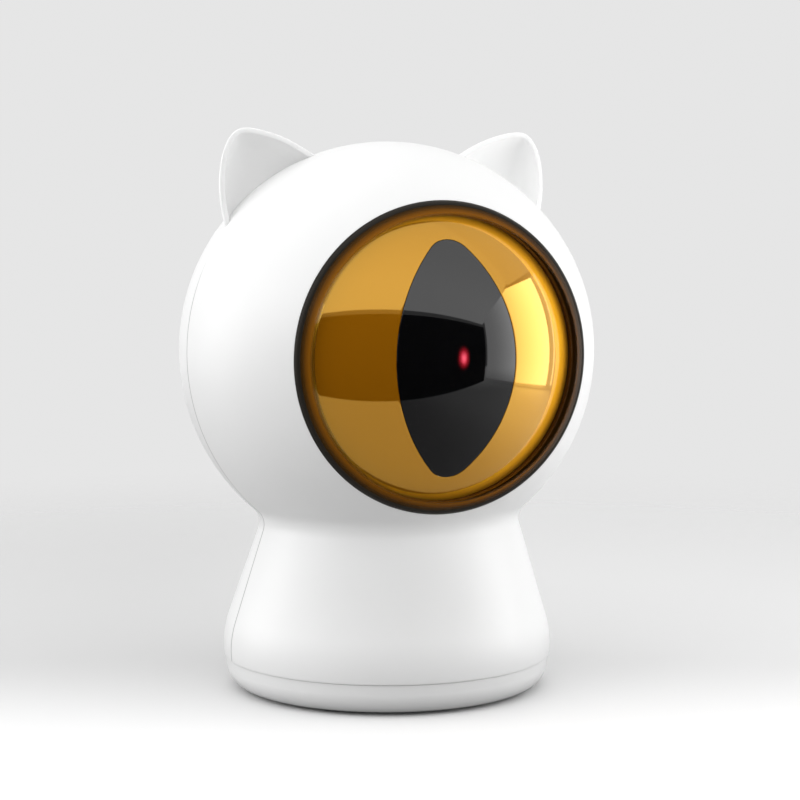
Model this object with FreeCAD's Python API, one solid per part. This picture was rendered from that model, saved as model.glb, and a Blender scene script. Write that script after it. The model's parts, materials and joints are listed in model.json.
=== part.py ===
import FreeCAD, Part
import math
import os

# Automatic cat laser toy. Millimetres. The origin is the centre of the underside, +Z is up and
# the eye looks along -Y. The head is a sphere, and the laser swings on two geared axes behind
# the eye's slit window.

Vector = FreeCAD.Vector
X = Vector(1, 0, 0)
Y = Vector(0, 1, 0)
Z = Vector(0, 0, 1)

# ---- head, neck and skirt
HEAD_R = 42.5
WALL = 2.0
BODY_R = 33.8               # widest radius of the skirt
BODY_R_Z = 9.0              # height of that widest place
SKIRT_HEIGHT = 5.94         # the skirt curves in over this height, then tapers straight
TAPER = 0.325               # radius lost per millimetre of height on the straight flank
NECK_LEAD = 1.5             # the neck's centre lies this far in front of the base's centre
LEAD_FROM_Z = 13.2
LEAD_TO_Z = 36.0
CREASE_Z = 35.739           # height where the neck meets the head's sphere
CREASE_R = 3.8              # fillet between neck and head
FLANK_SECTIONS = 10
FLANK_TOP_INSIDE = 25.3     # the flank runs up into the head to this depth below its centre
SEAM_GAP = 0.15
TONGUE_DEPTH = 1.6          # tongue on the rear half that laps into the front half
TONGUE_WALL = 0.9
FIT = 0.05                  # radial clearance of parts that locate each other
PRESS = 0.02                # radial clearance of parts that are pressed together
REACH = 200.0               # longer than the whole toy, for cutting tools
BELOW = 1.0                 # cutting forms run this far past the end that they open
FRONT = -1                  # the two halves of the shell, by the sign of their y
REAR = 1
POLE_LEAN = 20.0            # leans a sphere's poles away from the shell seam

# ---- ears
EAR_RIM = 1.1
EAR_SCALE = HEAD_R / 42.5   # the outline below is drawn for a head of this radius
EAR_SIDE = [(33.6, 23.0), (35.1, 33.5), (34.5, 40.0)]     # x, height above the head's centre
EAR_TIP = [(33.1, 43.4), (29.9, 44.8)]
EAR_TOP = [(22.4, 43.2), (14.0, 38.6)]
EAR_ROOT = [(19.0, 24.0)]
EAR_CENTRE = (25.0, 23.7)                                 # the ear narrows towards this point
EAR_BACK = [(0.0, 1.0), (1.6, 0.975), (3.6, 0.91), (6.2, 0.76), (8.2, 0.48)]
EAR_SCOOP = [(-0.6, 1.0), (1.2, 0.965), (3.0, 0.86), (4.5, 0.66), (5.4, 0.36)]

# ---- eye
EYE_HOLE_R = 30.29
RING_WIDTH = 1.19
RING_PROUD = 0.3
SHOULDER = 0.86             # step of the bore behind the eye hole, for the stack's flanges
SHOULDER_DEPTH = 2.4        # from the edge of the eye hole back to that step
COLLAR_WALL = 1.8
COLLAR_LENGTH = 11.4
RING_FLANGE = 1.35
LENS_WALL = 2.0
LENS_SKIRT = 0.95
LENS_FLANGE = 1.55
IRIS_DEPTH = 4.1            # from the lens's apex back to the iris's
IRIS_FLATTER = 0.5          # the iris's radius is smaller than the lens's by this
IRIS_WALL = 1.2
IRIS_BAND = 1.7             # sloped band from the dome's edge to its side
IRIS_GAP = 1.2              # between that side and the ring's bore
IRIS_FLANGE = 1.35
PUPIL_MARGIN = 3.8          # from the pupil's upper and lower ends to the iris's edge
PUPIL_SLIM = 0.54           # its width as a share of its height
PUPIL_TIP_R = 5.0
PUPIL_LIP = 1.5
PUPIL_LIP_WALL = 1.0
RETAINER_PLATE = 1.8
RETAINER_WALL = 1.8
RETAINER_SCREW_OUT = 3.45   # its screws lie this far outside the stack's bore
RETAINER_LUG_R = 2.2

# ---- screws: shank radius, head radius, head height, shank length
SHELL_SCREW = (1.25, 2.2, 1.8, 13.0)
BASE_SCREW = (1.25, 2.2, 1.8, 8.5)
RETAINER_SCREW = (0.9, 1.7, 1.2, 6.0)
FRAME_SCREW = (1.1, 2.0, 1.4, 8.0)
PCB_SCREW = (0.9, 1.7, 1.2, 5.0)
MOTOR_SCREW = (0.7, 1.3, 0.9, 2.4)
RECESS_WIDTH = 0.5
RECESS_REACH = 0.55         # the cross reaches over this share of the head's radius
PILOT_EXTRA = 0.8           # a pilot hole goes this much deeper than its screw
BOSS_WALL = 1.3

# ---- shell screws and base screws
HEAD_SCREW_IN = 6.49        # from the head's surface in to its screws
HEAD_SCREW_ANGLE = 62.0     # their place round the head, up from the side
HEAD_SEAT_Y = 8.0
NECK_SCREW_IN = 5.94        # from the neck's surface in to its screws
NECK_SCREW_Z = 30.0
NECK_SEAT_Y = 6.0
FRONT_BOSS_LENGTH = 20.0
BASE_SCREW_IN = 6.5         # from the skirt's widest radius in to the screws
BASE_BOSS_OUT = 1.1           # the boss reaches the wall with a second lobe, this much further out
BASE_BOSS_TOP_Z = 18.0
BASE_SEAT_Z = 6.0

# ---- base
FOOT_PROUD = 0.5
FOOT_R = 4.0
FOOT_DEPTH = 0.8
FOOT_AT = 22.0
BASE_SEAM_Z = 6.65
BASE_TOP_IN = 0.35          # the three radii of its outline, in from the skirt's widest
BASE_EDGE_IN = 0.65
BASE_FLAT_IN = 4.6
BASE_ROUND_Z = 4.9
BASE_BULGE = 50.0           # where on its rounded edge the arc's middle point lies
BASE_FLOOR = 2.0
BASE_CORNER = 1.0           # the floor's inside ends this much in from its flat underside
BASE_LIP_WALL = 1.5
BASE_LIP_Z = 9.0

# ---- pan and tilt mechanism
PIVOT_BACK = 14.2           # from the laser's front face back to both axes
GEAR_MODULE = 0.5
PRESSURE_ANGLE = 20.0
ADDENDUM = 0.8
DEDENDUM = 1.1
BACKLASH = 0.07
CENTRE_EXTRA = 0.08
PINION_TEETH = 14
PAN_TEETH = 42
TILT_TEETH = 36
FRAME_DOWN = 19.3           # from the tilt axis down to the frame's underside
FRAME_THICK = 2.4
FRAME_MARGIN = 1.0          # the frame reaches this far past its posts
TONGUE_HALF = 12.0          # half width of the frame where it reaches under the laser
TONGUE_FRONT = 7.0          # how far it reaches in front of the pan axis, and behind it
TONGUE_BACK = 9.0
POST_R = 2.6
POST_SIDE = (24.0, 13.0)
POST_BACK_Y = 29.0
WINDOW_IN = 8.0             # lightening windows, from the side posts' axis inwards
WINDOW_WIDTH = 6.0
BUSH_FLANGE = 0.8
BUSH_FLANGE_OUT = 1.5
BUSH_WALL = 0.96
BUSH_LENGTH = 5.3
BUSH_BOSS_WALL = 1.65
PAN_SHAFT_R = 1.5
AXIAL_GAP = 0.3
CLIP_THICK = 0.6
CLIP_R = 3.2
CLIP_MOUTH = 0.8            # width of its mouth as a share of the shaft's diameter
PAN_GEAR_THICK = 2.5
YOKE_PLATE = 2.2
YOKE_HALF = 11.0
YOKE_FRONT = 5.0
YOKE_BACK = 19.0
CHEEK = 2.0
CHEEK_HALF = 4.0
TRUNNION_R = 1.0
CRADLE_R = 5.2
CRADLE_LENGTH = 8.0
CRADLE_BOSS_R = 2.2
TILT_GEAR_X = 5.5
TILT_GEAR_THICK = 1.8
MOTOR_WALL_X = 3.0
MOTOR_WALL = 1.8
MOTOR_WALL_BACK = 7.0       # from the pan axis back to the tilt motor's wall
MOTOR_WALL_SHORT = 1.0      # the wall ends this much in front of the yoke's back
PAN_MOTOR_R = 7.5
PAN_MOTOR_HEIGHT = 9.3
PAN_MOTOR_SHAFT_R = 0.75
PAN_MOTOR_PILOT_R = 3.0
PAN_MOTOR_EAR = 9.6
TILT_MOTOR_R = 5.0
TILT_MOTOR_LENGTH = 11.0
TILT_MOTOR_SHAFT_R = 0.5
TILT_MOTOR_PILOT_R = 1.8
TILT_MOTOR_EAR = 7.4
MOTOR_END = 2.0             # thickness of a motor's closed end behind its shaft
TILT_SHAFT_PROUD = 0.4
PINION_WIDER = 0.1
PIN_CLEAR = 0.6             # the tilt pins start this far from the barrel and pass the fork by it
EAR_PLATE = 0.8
EAR_END_R = 1.9
PINION_TALL = 2.5

# ---- laser
LASER_R = 3.25
LASER_DEPTH = 2.2           # from the iris's apex back to the laser's front face
LASER_LENGTH = 18.0
LASER_BORE_R = 1.6
LASER_BORE = 10.8
LASER_LENS_R = 2.3
LASER_LENS_THICK = 1.6
LASER_LENS_SET_BACK = 0.4
LASER_DRIVER_R = 2.8
LASER_DRIVER_THICK = 1.0

# ---- battery and electronics
BATTERY = (30.0, 40.0, 6.0)
BATTERY_PAD = 0.5
BATTERY_PAD_SHORT = 6.0
BATTERY_ROUND = 1.5
PCB_Z = 10.4
PCB_THICK = 1.6
PCB_POST_X = 18.5
PCB_POST_Y = 8.0
PCB_POST_R = 2.2
PCB_HALF = [(21.0, -12.0), (21.0, 12.0), (13.0, 22.0)]
PCB_NOSE_X = 8.0
PCB_FRONT = (13.0, -20.0)
CONTROLLER = (0.0, -9.0, 6.0, 8.0)      # x, y, width, length
DRIVER = (8.0, 13.0, 3.9, 5.0)
CHIP_LIFT = 0.3
CHIP_TALL = 1.2
LEG_PITCH = 1.27
LEG_WIDTH = 0.4
LEG_THICK = 0.3
LEG_REACH = 0.9
CAPACITOR_X = 12.0
CAPACITOR_YS = (-8.0, -14.0)
CAPACITOR_R = 2.5
CAPACITOR_TALL = 5.4
USB_WIDTH = 8.94
USB_HEIGHT = 3.26
USB_DEPTH = 7.3
USB_SKIN = 0.35
USB_FLOOR = 1.5
USB_TONGUE = (6.7, 4.6, 0.7)
USB_SET_BACK = 0.45         # from the wall's inside to the socket's mouth
USB_OVERHANG = 2.26         # the mouth stands this far past the board's edge
PORT_WIDTH = 11.6
PORT_HEIGHT = 6.0
LEAD_R = 0.9
LEAD_BEND = 2.4
LEAD_X = -8.0
LEAD_FRONT_Y = -23.5
LEAD_IN_Z = 14.6
BATTERY_PLUG = (6.0, 5.0, 5.4)
BATTERY_PLUG_IN = 1.5       # from the board's front edge to the plug
MOTOR_PLUG = (6.5, 4.5, 5.6)
MOTOR_PLUG_Y = 5.5
TERMINAL = (5.0, 1.9, 3.0)  # block behind the pan motor, raised above its lower end
TERMINAL_UP = 0.8

# ---- power button, in its own frame: +Y leaves the shell square to the sloping wall
BUTTON_Z = 25.0
BUTTON_R = 3.8
BUTTON_GAP = 0.3
BUTTON_PROUD = 0.9
BUTTON_ROUND = 0.5
BUTTON_FLANGE_R = 4.9
BUTTON_FLANGE = 1.0
BUTTON_FLANGE_Y = -5.0      # front of the flange, counted from the wall's outside
SWITCH_BODY = (6.0, 3.5, 6.0)
SWITCH_FLOOR = 0.8          # thickness of the switch behind the plunger's well
SWITCH_BOARD = (31.0, 1.2, 9.0)
SWITCH_BOARD_Y = -12.0      # its front face
BOARD_SCREW_X = 12.8
PLUNGER_R = 1.7
PLUNGER_DEEP = 0.7          # how far the plunger reaches into the switch
PLUNGER_RUN = 0.1
LIGHT_X = 8.0
LIGHT_R = 1.0
LED_R = 1.5
LED_TALL = 2.0

# ---- worked out from the sizes above
FLANK_Z = BODY_R_Z + SKIRT_HEIGHT
FLANK_R = BODY_R - TAPER * SKIRT_HEIGHT / 2
NECK_TOP_R = FLANK_R - TAPER * (CREASE_Z - FLANK_Z)
HEAD_Z = CREASE_Z + math.sqrt(HEAD_R ** 2 - NECK_TOP_R ** 2)
HEAD_CENTRE = Vector(0, 0, HEAD_Z)
BASE_SCREW_XY = (BODY_R - BASE_SCREW_IN) / math.sqrt(2)
FRAME_Z = HEAD_Z - FRAME_DOWN
RING_INNER_R = EYE_HOLE_R - RING_WIDTH
STACK_R = EYE_HOLE_R + SHOULDER
SHOULDER_Y = -math.sqrt(HEAD_R ** 2 - EYE_HOLE_R ** 2) + SHOULDER_DEPTH
COLLAR_END_Y = SHOULDER_Y + COLLAR_LENGTH
RETAINER_INNER_R = STACK_R - FIT - RETAINER_WALL
RETAINER_SCREW_R = STACK_R + RETAINER_SCREW_OUT
LENS_R = HEAD_R
IRIS_R = LENS_R - IRIS_FLATTER
IRIS_APEX_Y = -LENS_R + IRIS_DEPTH
IRIS_EDGE_R = RING_INNER_R - IRIS_GAP - IRIS_BAND
PUPIL_HALF_HEIGHT = IRIS_EDGE_R - PUPIL_MARGIN
PUPIL_HALF_WIDTH = PUPIL_HALF_HEIGHT * PUPIL_SLIM
LASER_FRONT_Y = IRIS_APEX_Y + LASER_DEPTH
PIVOT_Y = LASER_FRONT_Y + PIVOT_BACK
IRIS_CENTRE_Y = IRIS_APEX_Y + IRIS_R
RING_BACK_Y = SHOULDER_Y + FIT + RING_FLANGE
LENS_FLANGE_Y = RING_BACK_Y + FIT
IRIS_FLANGE_Y = LENS_FLANGE_Y + LENS_FLANGE + FIT
IRIS_BACK_Y = IRIS_FLANGE_Y + IRIS_FLANGE
RETAINER_Y = COLLAR_END_Y + FIT
COLLAR_R = STACK_R + COLLAR_WALL
BASE_Z = FOOT_PROUD
BASE_INNER_Z = BASE_Z + BASE_FLOOR
PCB_TOP_Z = PCB_Z + PCB_THICK
USB_Z = PCB_TOP_Z + USB_HEIGHT / 2
FRAME_TOP_Z = FRAME_Z + FRAME_THICK
BUSH_BOTTOM_Z = FRAME_TOP_Z - BUSH_LENGTH
PAN_GEAR_Z = FRAME_TOP_Z + BUSH_FLANGE + AXIAL_GAP
YOKE_Z = PAN_GEAR_Z + PAN_GEAR_THICK
YOKE_TOP_Z = YOKE_Z + YOKE_PLATE
CLIP_Z = BUSH_BOTTOM_Z - AXIAL_GAP - CLIP_THICK
PAN_MOTOR_Y = PIVOT_Y + GEAR_MODULE * (PINION_TEETH + PAN_TEETH) / 2 + CENTRE_EXTRA
TILT_MOTOR_Y = PIVOT_Y + GEAR_MODULE * (PINION_TEETH + TILT_TEETH) / 2 + CENTRE_EXTRA
PAN_MOTOR_TOP_Z = FRAME_Z - FIT
PAN_PINION_Z = YOKE_Z - AXIAL_GAP - PINION_TALL
PIVOT = Vector(0, PIVOT_Y, HEAD_Z)
CHEEK_INNER_X = YOKE_HALF - CHEEK


# ---- drawing helpers

def box(x, y, z):
    """A box between the two ends of each range."""
    return Part.makeBox(x[1] - x[0], y[1] - y[0], z[1] - z[0], Vector(x[0], y[0], z[0]))


def rod(radius, start, end):
    """A solid cylinder from one point to another."""
    return Part.makeCylinder(radius, start.distanceToPoint(end), start, end - start)


def ball(radius, centre, side=FRONT):
    """A sphere for one half of the head: its seam and upper pole lie in the other half."""
    sphere = Part.makeSphere(radius)
    turn = FreeCAD.Rotation(X, side * POLE_LEAN).multiply(FreeCAD.Rotation(Z, -90 * side))
    sphere.Placement = FreeCAD.Placement(centre, turn)
    return sphere


def tube(outer, inner, start, end):
    return rod(outer, start, end).cut(rod(inner, start, end))


def join(shapes):
    """The shapes fused to one solid."""
    whole = shapes[0]
    for shape in shapes[1:]:
        whole = whole.fuse(shape)
    return whole.removeSplitter()


def group(shapes):
    """Separate solids that share one node."""
    return Part.makeCompound(shapes)


def outline(start, *steps):
    """A closed wire. A step is the next point, or a (middle, end) pair for an arc."""
    edges = []
    here = start
    for step in steps:
        if isinstance(step, tuple):
            end = step[1]
            edges.append(Part.Arc(here, step[0], end).toShape())
        else:
            end = step
            edges.append(Part.LineSegment(here, end).toShape())
        here = end
    if here.distanceToPoint(start) > 1e-6:
        edges.append(Part.LineSegment(here, start).toShape())
    return Part.Wire(edges)


def mirrored_pair(shape):
    return [shape, shape.mirror(Vector(0, 0, 0), X)]


def screw(size, seat, direction):
    """A cross-head screw whose head sits at seat and whose shank goes along direction."""
    shank_r, head_r, head_tall, length = size
    way = Vector(direction).normalize()
    top = seat - way * head_tall
    body = join([rod(shank_r, seat, seat + way * length), rod(head_r, seat, top)])
    across = [X, Y] if abs(way.z) > 0.5 else ([Y, Z] if abs(way.x) > 0.5 else [X, Z])
    for axis in across:
        half = axis * head_r * RECESS_REACH
        cut = rod(RECESS_WIDTH / 2, top - half, top + half)
        body = body.cut(cut)
    return body


def screw_hole(size, seat, direction, extra=0.0):
    """What a screw's shank needs free, with a little more depth below its end."""
    way = Vector(direction).normalize()
    return rod(size[0] + FIT, seat, seat + way * (size[3] + extra))


# ---- the outer form

def flank_radius(z):
    """Radius of the body at a height: a rounded skirt that runs out into a straight taper."""
    if z < FLANK_Z:
        return BODY_R - TAPER * (z - BODY_R_Z) ** 2 / (2 * SKIRT_HEIGHT)
    return FLANK_R - TAPER * (z - FLANK_Z)


def flank_lead(z):
    """How far the body's centre has moved forwards at a height."""
    t = min(max((z - LEAD_FROM_Z) / (LEAD_TO_Z - LEAD_FROM_Z), 0.0), 1.0)
    return NECK_LEAD * t * t * (3 - 2 * t)


def head_and_neck(inset, bottom_z, side=FRONT):
    """The outer form, or the same form drawn in by inset, drawn for one half."""
    top_z = HEAD_Z - FLANK_TOP_INSIDE
    rings = []
    for i in range(FLANK_SECTIONS):
        z = bottom_z + (top_z - bottom_z) * i / (FLANK_SECTIONS - 1)
        circle = Part.Circle(Vector(0, -flank_lead(z), z), Z, flank_radius(z) - inset)
        rings.append(Part.Wire(circle.toShape()))
    flank = Part.makeLoft(rings, True, False)
    return ball(HEAD_R - inset, HEAD_CENTRE, side).fuse(flank)


def crease_edges(form):
    """The edges where neck and head meet."""
    found = []
    for edge in form.Edges:
        low, high = edge.BoundBox.ZMin, edge.BoundBox.ZMax
        if abs(low - CREASE_Z) < 2 * CREASE_R and abs(high - CREASE_Z) < 2 * CREASE_R:
            found.append(edge)
    return found


def outer_form(side):
    form = head_and_neck(0.0, BASE_SEAM_Z + SEAM_GAP, side)
    return form.makeFillet(CREASE_R, crease_edges(form))


OUTER = {side: outer_form(side) for side in (FRONT, REAR)}
CAVITY = {side: head_and_neck(WALL, BASE_SEAM_Z - BELOW, side) for side in (FRONT, REAR)}
TRIM = head_and_neck(WALL / 2, BASE_SEAM_Z + SEAM_GAP)


def wall_point(z):
    """The rearmost point of the body's outside at a height."""
    return Vector(0, flank_radius(z) - flank_lead(z), z)


def ear_wire(y, scale, inset):
    """The ear's outline at depth y, drawn towards the ear's centre by scale."""
    def at(point):
        x = EAR_CENTRE[0] + (point[0] - EAR_CENTRE[0]) * scale
        z = EAR_CENTRE[1] + (point[1] - EAR_CENTRE[1]) * scale
        return Vector(x * EAR_SCALE, y, HEAD_Z + z * EAR_SCALE)
    side, tip, top = EAR_SIDE, EAR_TIP, EAR_TOP
    wire = outline(at(side[0]), (at(side[1]), at(side[2])), (at(tip[0]), at(tip[1])),
                   (at(top[0]), at(top[1])), at(EAR_ROOT[0]))
    if inset:
        wire = wire.makeOffset2D(-inset, 2)
    return wire


def ear():
    """A cat's ear on the +X side: a rounded back with a scooped front."""
    back = Part.makeLoft([ear_wire(y, scale, 0.0) for y, scale in EAR_BACK], True, False)
    scoop = Part.makeLoft([ear_wire(y, scale, EAR_RIM) for y, scale in EAR_SCOOP], True, False)
    return back.cut(scoop).cut(ball(HEAD_R - WALL / 2, HEAD_CENTRE))


# ---- places of the screws

def shell_screw_seats():
    """Head and neck screws: seat points on the rear half, for both sides."""
    angle = math.radians(HEAD_SCREW_ANGLE)
    head_x = (HEAD_R - HEAD_SCREW_IN) * math.cos(angle)
    head_z = HEAD_Z + (HEAD_R - HEAD_SCREW_IN) * math.sin(angle)
    neck_x = flank_radius(NECK_SCREW_Z) - NECK_SCREW_IN
    seats = []
    for side in (1, -1):
        seats.append(Vector(side * head_x, HEAD_SEAT_Y, head_z))
        seats.append(Vector(side * neck_x, NECK_SEAT_Y, NECK_SCREW_Z))
    return seats


def base_screw_seats():
    return [Vector(x, y, BASE_SEAT_Z) for x in (-BASE_SCREW_XY, BASE_SCREW_XY)
            for y in (-BASE_SCREW_XY, BASE_SCREW_XY)]


def retainer_screw_seats():
    across = RETAINER_SCREW_R / math.sqrt(2)
    y = RETAINER_Y + RETAINER_PLATE
    return [Vector(x, y, HEAD_Z + z) for x in (-across, across) for z in (-across, across)]


def frame_post_places():
    x, y = POST_SIDE
    return [(x, y), (-x, y), (0.0, POST_BACK_Y)]


def pcb_post_places():
    return [(x, y) for x in (-PCB_POST_X, PCB_POST_X) for y in (-PCB_POST_Y, PCB_POST_Y)]


def base_bosses(side):
    """Upright bosses that take the base screws, on the front (-1) or rear (1) half."""
    bosses = []
    for seat in base_screw_seats():
        if seat.y * side > 0:
            for out in (1, BASE_BOSS_OUT):
                low = Vector(seat.x * out, seat.y * out, BASE_LIP_Z + AXIAL_GAP)
                high = Vector(seat.x * out, seat.y * out, BASE_BOSS_TOP_Z)
                bosses.append(rod(BASE_SCREW[0] + BOSS_WALL, low, high))
    return bosses


# ---- the power button's own frame

def button_tilt():
    """Slope of the wall behind the button, in degrees."""
    rise = wall_point(BUTTON_Z + BUTTON_R).y - wall_point(BUTTON_Z - BUTTON_R).y
    return math.degrees(math.atan2(-rise, 2 * BUTTON_R))


def on_wall(shape):
    """Places a shape drawn about the button's origin on the sloping rear wall."""
    placed = shape.copy()
    placed.Placement = FreeCAD.Placement(wall_point(BUTTON_Z), FreeCAD.Rotation(X, button_tilt()))
    return placed


def along_y(radius, x, start_y, end_y):
    return rod(radius, Vector(x, start_y, 0), Vector(x, end_y, 0))


def board_boss(x):
    """A boss inside the rear wall for the switch board, with its pilot hole."""
    back_y = SWITCH_BOARD_Y + SWITCH_BOARD[1]
    boss = on_wall(along_y(PCB_POST_R, x, back_y + FIT, 0.0)).common(TRIM)
    pilot = along_y(PCB_SCREW[0] + FIT, x, back_y, SWITCH_BOARD_Y + PCB_SCREW[3] + PILOT_EXTRA)
    return boss.cut(on_wall(pilot))


# ---- shells

def seam_side(shape, side):
    """The part of a shape in front of (-1) or behind (1) the seam."""
    near = SEAM_GAP / 2
    y = (near, REACH) if side > 0 else (-REACH, -near)
    return shape.common(box((-REACH, REACH), y, (-REACH, REACH)))


def behind(y):
    return box((-REACH, REACH), (y, REACH), (-REACH, REACH))


def rear_half():
    """Everything behind the seam, with the tongue that laps into the front half."""
    tongue = head_and_neck(WALL - TONGUE_WALL, BASE_SEAM_Z - BELOW)
    away = box((-REACH, REACH), (-REACH, SEAM_GAP / 2), (-REACH, REACH)).cut(tongue)
    return OUTER[REAR].common(behind(-TONGUE_DEPTH)).cut(away).cut(CAVITY[REAR])


def front_half():
    """Everything in front of the seam, cut away inside for the rear half's tongue."""
    groove = head_and_neck(WALL - TONGUE_WALL - 2 * FIT, BASE_SEAM_Z - BELOW)
    groove = groove.common(behind(-TONGUE_DEPTH - 4 * FIT))
    return seam_side(OUTER[FRONT], FRONT).cut(groove).cut(CAVITY[FRONT])


def front_shell():
    """Front half: eye hole with its collar, and the bosses that take the screws."""
    axis_low = Vector(0, -REACH, HEAD_Z)
    collar = tube(COLLAR_R, STACK_R, Vector(0, SHOULDER_Y, HEAD_Z), Vector(0, COLLAR_END_Y, HEAD_Z))
    parts = [front_half(), collar.common(TRIM)]
    for seat in retainer_screw_seats():
        deep = Vector(seat.x, -HEAD_R, seat.z)
        end = Vector(seat.x, COLLAR_END_Y, seat.z)
        parts.append(rod(RETAINER_LUG_R, end, deep).common(TRIM))
    for seat in shell_screw_seats():
        start = Vector(seat.x, -SEAM_GAP / 2, seat.z)
        end = Vector(seat.x, -FRONT_BOSS_LENGTH, seat.z)
        parts.append(rod(SHELL_SCREW[0] + BOSS_WALL, start, end).common(TRIM))
    parts += [boss.common(TRIM) for boss in base_bosses(-1)]
    shell = join(parts)
    shell = shell.cut(rod(EYE_HOLE_R, axis_low, HEAD_CENTRE))
    shell = shell.cut(rod(STACK_R, Vector(0, SHOULDER_Y, HEAD_Z), Vector(0, COLLAR_END_Y + 1, HEAD_Z)))
    for seat in shell_screw_seats():
        shell = shell.cut(screw_hole(SHELL_SCREW, seat, -Y, PILOT_EXTRA))
    for seat in retainer_screw_seats():
        shell = shell.cut(screw_hole(RETAINER_SCREW, seat, -Y, PILOT_EXTRA))
    for seat in base_screw_seats():
        shell = shell.cut(screw_hole(BASE_SCREW, seat, Z, PILOT_EXTRA))
    return shell


def usb_port():
    """The recess in the rear wall that lets a charging plug's grip in."""
    return stadium(PORT_WIDTH, PORT_HEIGHT, BASE_SCREW_XY, REACH)


def rear_shell():
    """Rear half: ears, seam tongue, screw wells, frame posts, button hole and charging port."""
    parts = [rear_half()]
    for one in mirrored_pair(seam_side(ear(), 1)):
        parts.append(one)
    for seat in shell_screw_seats():
        start = Vector(seat.x, SEAM_GAP / 2, seat.z)
        end = Vector(seat.x, HEAD_R, seat.z)
        parts.append(rod(SHELL_SCREW[1] + FIT + BOSS_WALL, start, end).common(TRIM))
    for x, y in frame_post_places():
        low = HEAD_Z - math.sqrt((HEAD_R - WALL / 2) ** 2 - x ** 2 - y ** 2)
        parts.append(rod(POST_R, Vector(x, y, low), Vector(x, y, FRAME_Z)).common(TRIM))
    parts += [boss.common(TRIM) for boss in base_bosses(1)]
    parts += [board_boss(x) for x in (-BOARD_SCREW_X, BOARD_SCREW_X)]
    shell = join(parts)
    for seat in shell_screw_seats():
        shell = shell.cut(screw_hole(SHELL_SCREW, seat, -Y))
        shell = shell.cut(rod(SHELL_SCREW[1] + FIT, seat, Vector(seat.x, REACH, seat.z)))
    for x, y in frame_post_places():
        shell = shell.cut(screw_hole(FRAME_SCREW, Vector(x, y, FRAME_TOP_Z), -Z, PILOT_EXTRA))
    for seat in base_screw_seats():
        shell = shell.cut(screw_hole(BASE_SCREW, seat, Z, PILOT_EXTRA))
    hole = along_y(BUTTON_R + BUTTON_GAP, 0.0, BUTTON_FLANGE_Y, WALL)
    light = along_y(LIGHT_R + FIT, LIGHT_X, BUTTON_FLANGE_Y, WALL)
    shell = shell.cut(on_wall(hole)).cut(on_wall(light))
    return shell.cut(usb_port())


def base_cover():
    """The cap under the body: floor, rounded edge, lip, screw posts and feet recesses."""
    middle = math.radians(BASE_BULGE)
    top_r = BODY_R - BASE_TOP_IN
    edge_r = BODY_R - BASE_EDGE_IN
    flat_r = BODY_R - BASE_FLAT_IN
    round_r = edge_r - flat_r
    round_z = BASE_ROUND_Z - BASE_Z
    bulge = Vector(flat_r + round_r * math.sin(middle), 0, BASE_ROUND_Z - round_z * math.cos(middle))
    top_z = BASE_SEAM_Z
    lip_r = flank_radius(BASE_SEAM_Z) - WALL - 2 * FIT
    wire = outline(Vector(0, 0, BASE_Z), Vector(flat_r, 0, BASE_Z),
                   (bulge, Vector(edge_r, 0, BASE_ROUND_Z)), Vector(top_r, 0, top_z),
                   Vector(lip_r, 0, top_z), Vector(lip_r, 0, BASE_LIP_Z),
                   Vector(lip_r - BASE_LIP_WALL, 0, BASE_LIP_Z),
                   Vector(lip_r - BASE_LIP_WALL, 0, BASE_ROUND_Z),
                   Vector(flat_r - BASE_CORNER, 0, BASE_INNER_Z), Vector(0, 0, BASE_INNER_Z))
    cover = Part.Face(wire).revolve(Vector(0, 0, 0), Z, 360)
    parts = [cover]
    for seat in base_screw_seats():
        low = Vector(seat.x, seat.y, BASE_Z)
        parts.append(rod(BASE_SCREW[1] + FIT + BOSS_WALL, low, Vector(seat.x, seat.y, BASE_LIP_Z)))
    for x, y in pcb_post_places():
        parts.append(rod(PCB_POST_R, Vector(x, y, BASE_Z), Vector(x, y, PCB_Z - FIT)))
    cover = join(parts)
    for seat in base_screw_seats():
        cover = cover.cut(screw_hole(BASE_SCREW, seat, Z))
        cover = cover.cut(rod(BASE_SCREW[1] + FIT, Vector(seat.x, seat.y, 0), seat))
    for x, y in pcb_post_places():
        cover = cover.cut(rod(PCB_SCREW[0] + FIT, Vector(x, y, PCB_Z - PCB_SCREW[3]), Vector(x, y, PCB_Z)))
    for x, y in foot_places():
        cover = cover.cut(rod(FOOT_R + FIT, Vector(x, y, 0), Vector(x, y, BASE_Z + FOOT_DEPTH)))
    return cover


def foot_places():
    return [(FOOT_AT, 0), (-FOOT_AT, 0), (0, FOOT_AT), (0, -FOOT_AT)]


def rubber_feet():
    top = BASE_Z + FOOT_DEPTH
    return group([rod(FOOT_R, Vector(x, y, 0), Vector(x, y, top)) for x, y in foot_places()])


# ---- the eye's stack, turned about the eye's axis

def eye_point(radius, y):
    return Vector(radius, y, HEAD_Z)


def dome_point(dome_r, centre_y, radius):
    """A point of a dome that bulges towards -Y, at a distance from the eye's axis."""
    return eye_point(radius, centre_y - math.sqrt(dome_r ** 2 - radius ** 2))


def turned(wire):
    return Part.Face(wire).revolve(HEAD_CENTRE, Y, 360)


def lens_ring():
    """Black ring round the lens, with a flange behind the edge of the eye hole."""
    outer = EYE_HOLE_R - FIT
    crown = dome_point(HEAD_R + RING_PROUD, 0.0, (outer + RING_INNER_R) / 2)
    return turned(outline(eye_point(RING_INNER_R, RING_BACK_Y), eye_point(STACK_R - FIT, RING_BACK_Y),
                          eye_point(STACK_R - FIT, SHOULDER_Y + FIT), eye_point(outer, SHOULDER_Y + FIT),
                          dome_point(HEAD_R, 0.0, outer),
                          (crown, dome_point(HEAD_R, 0.0, RING_INNER_R))))


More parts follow.
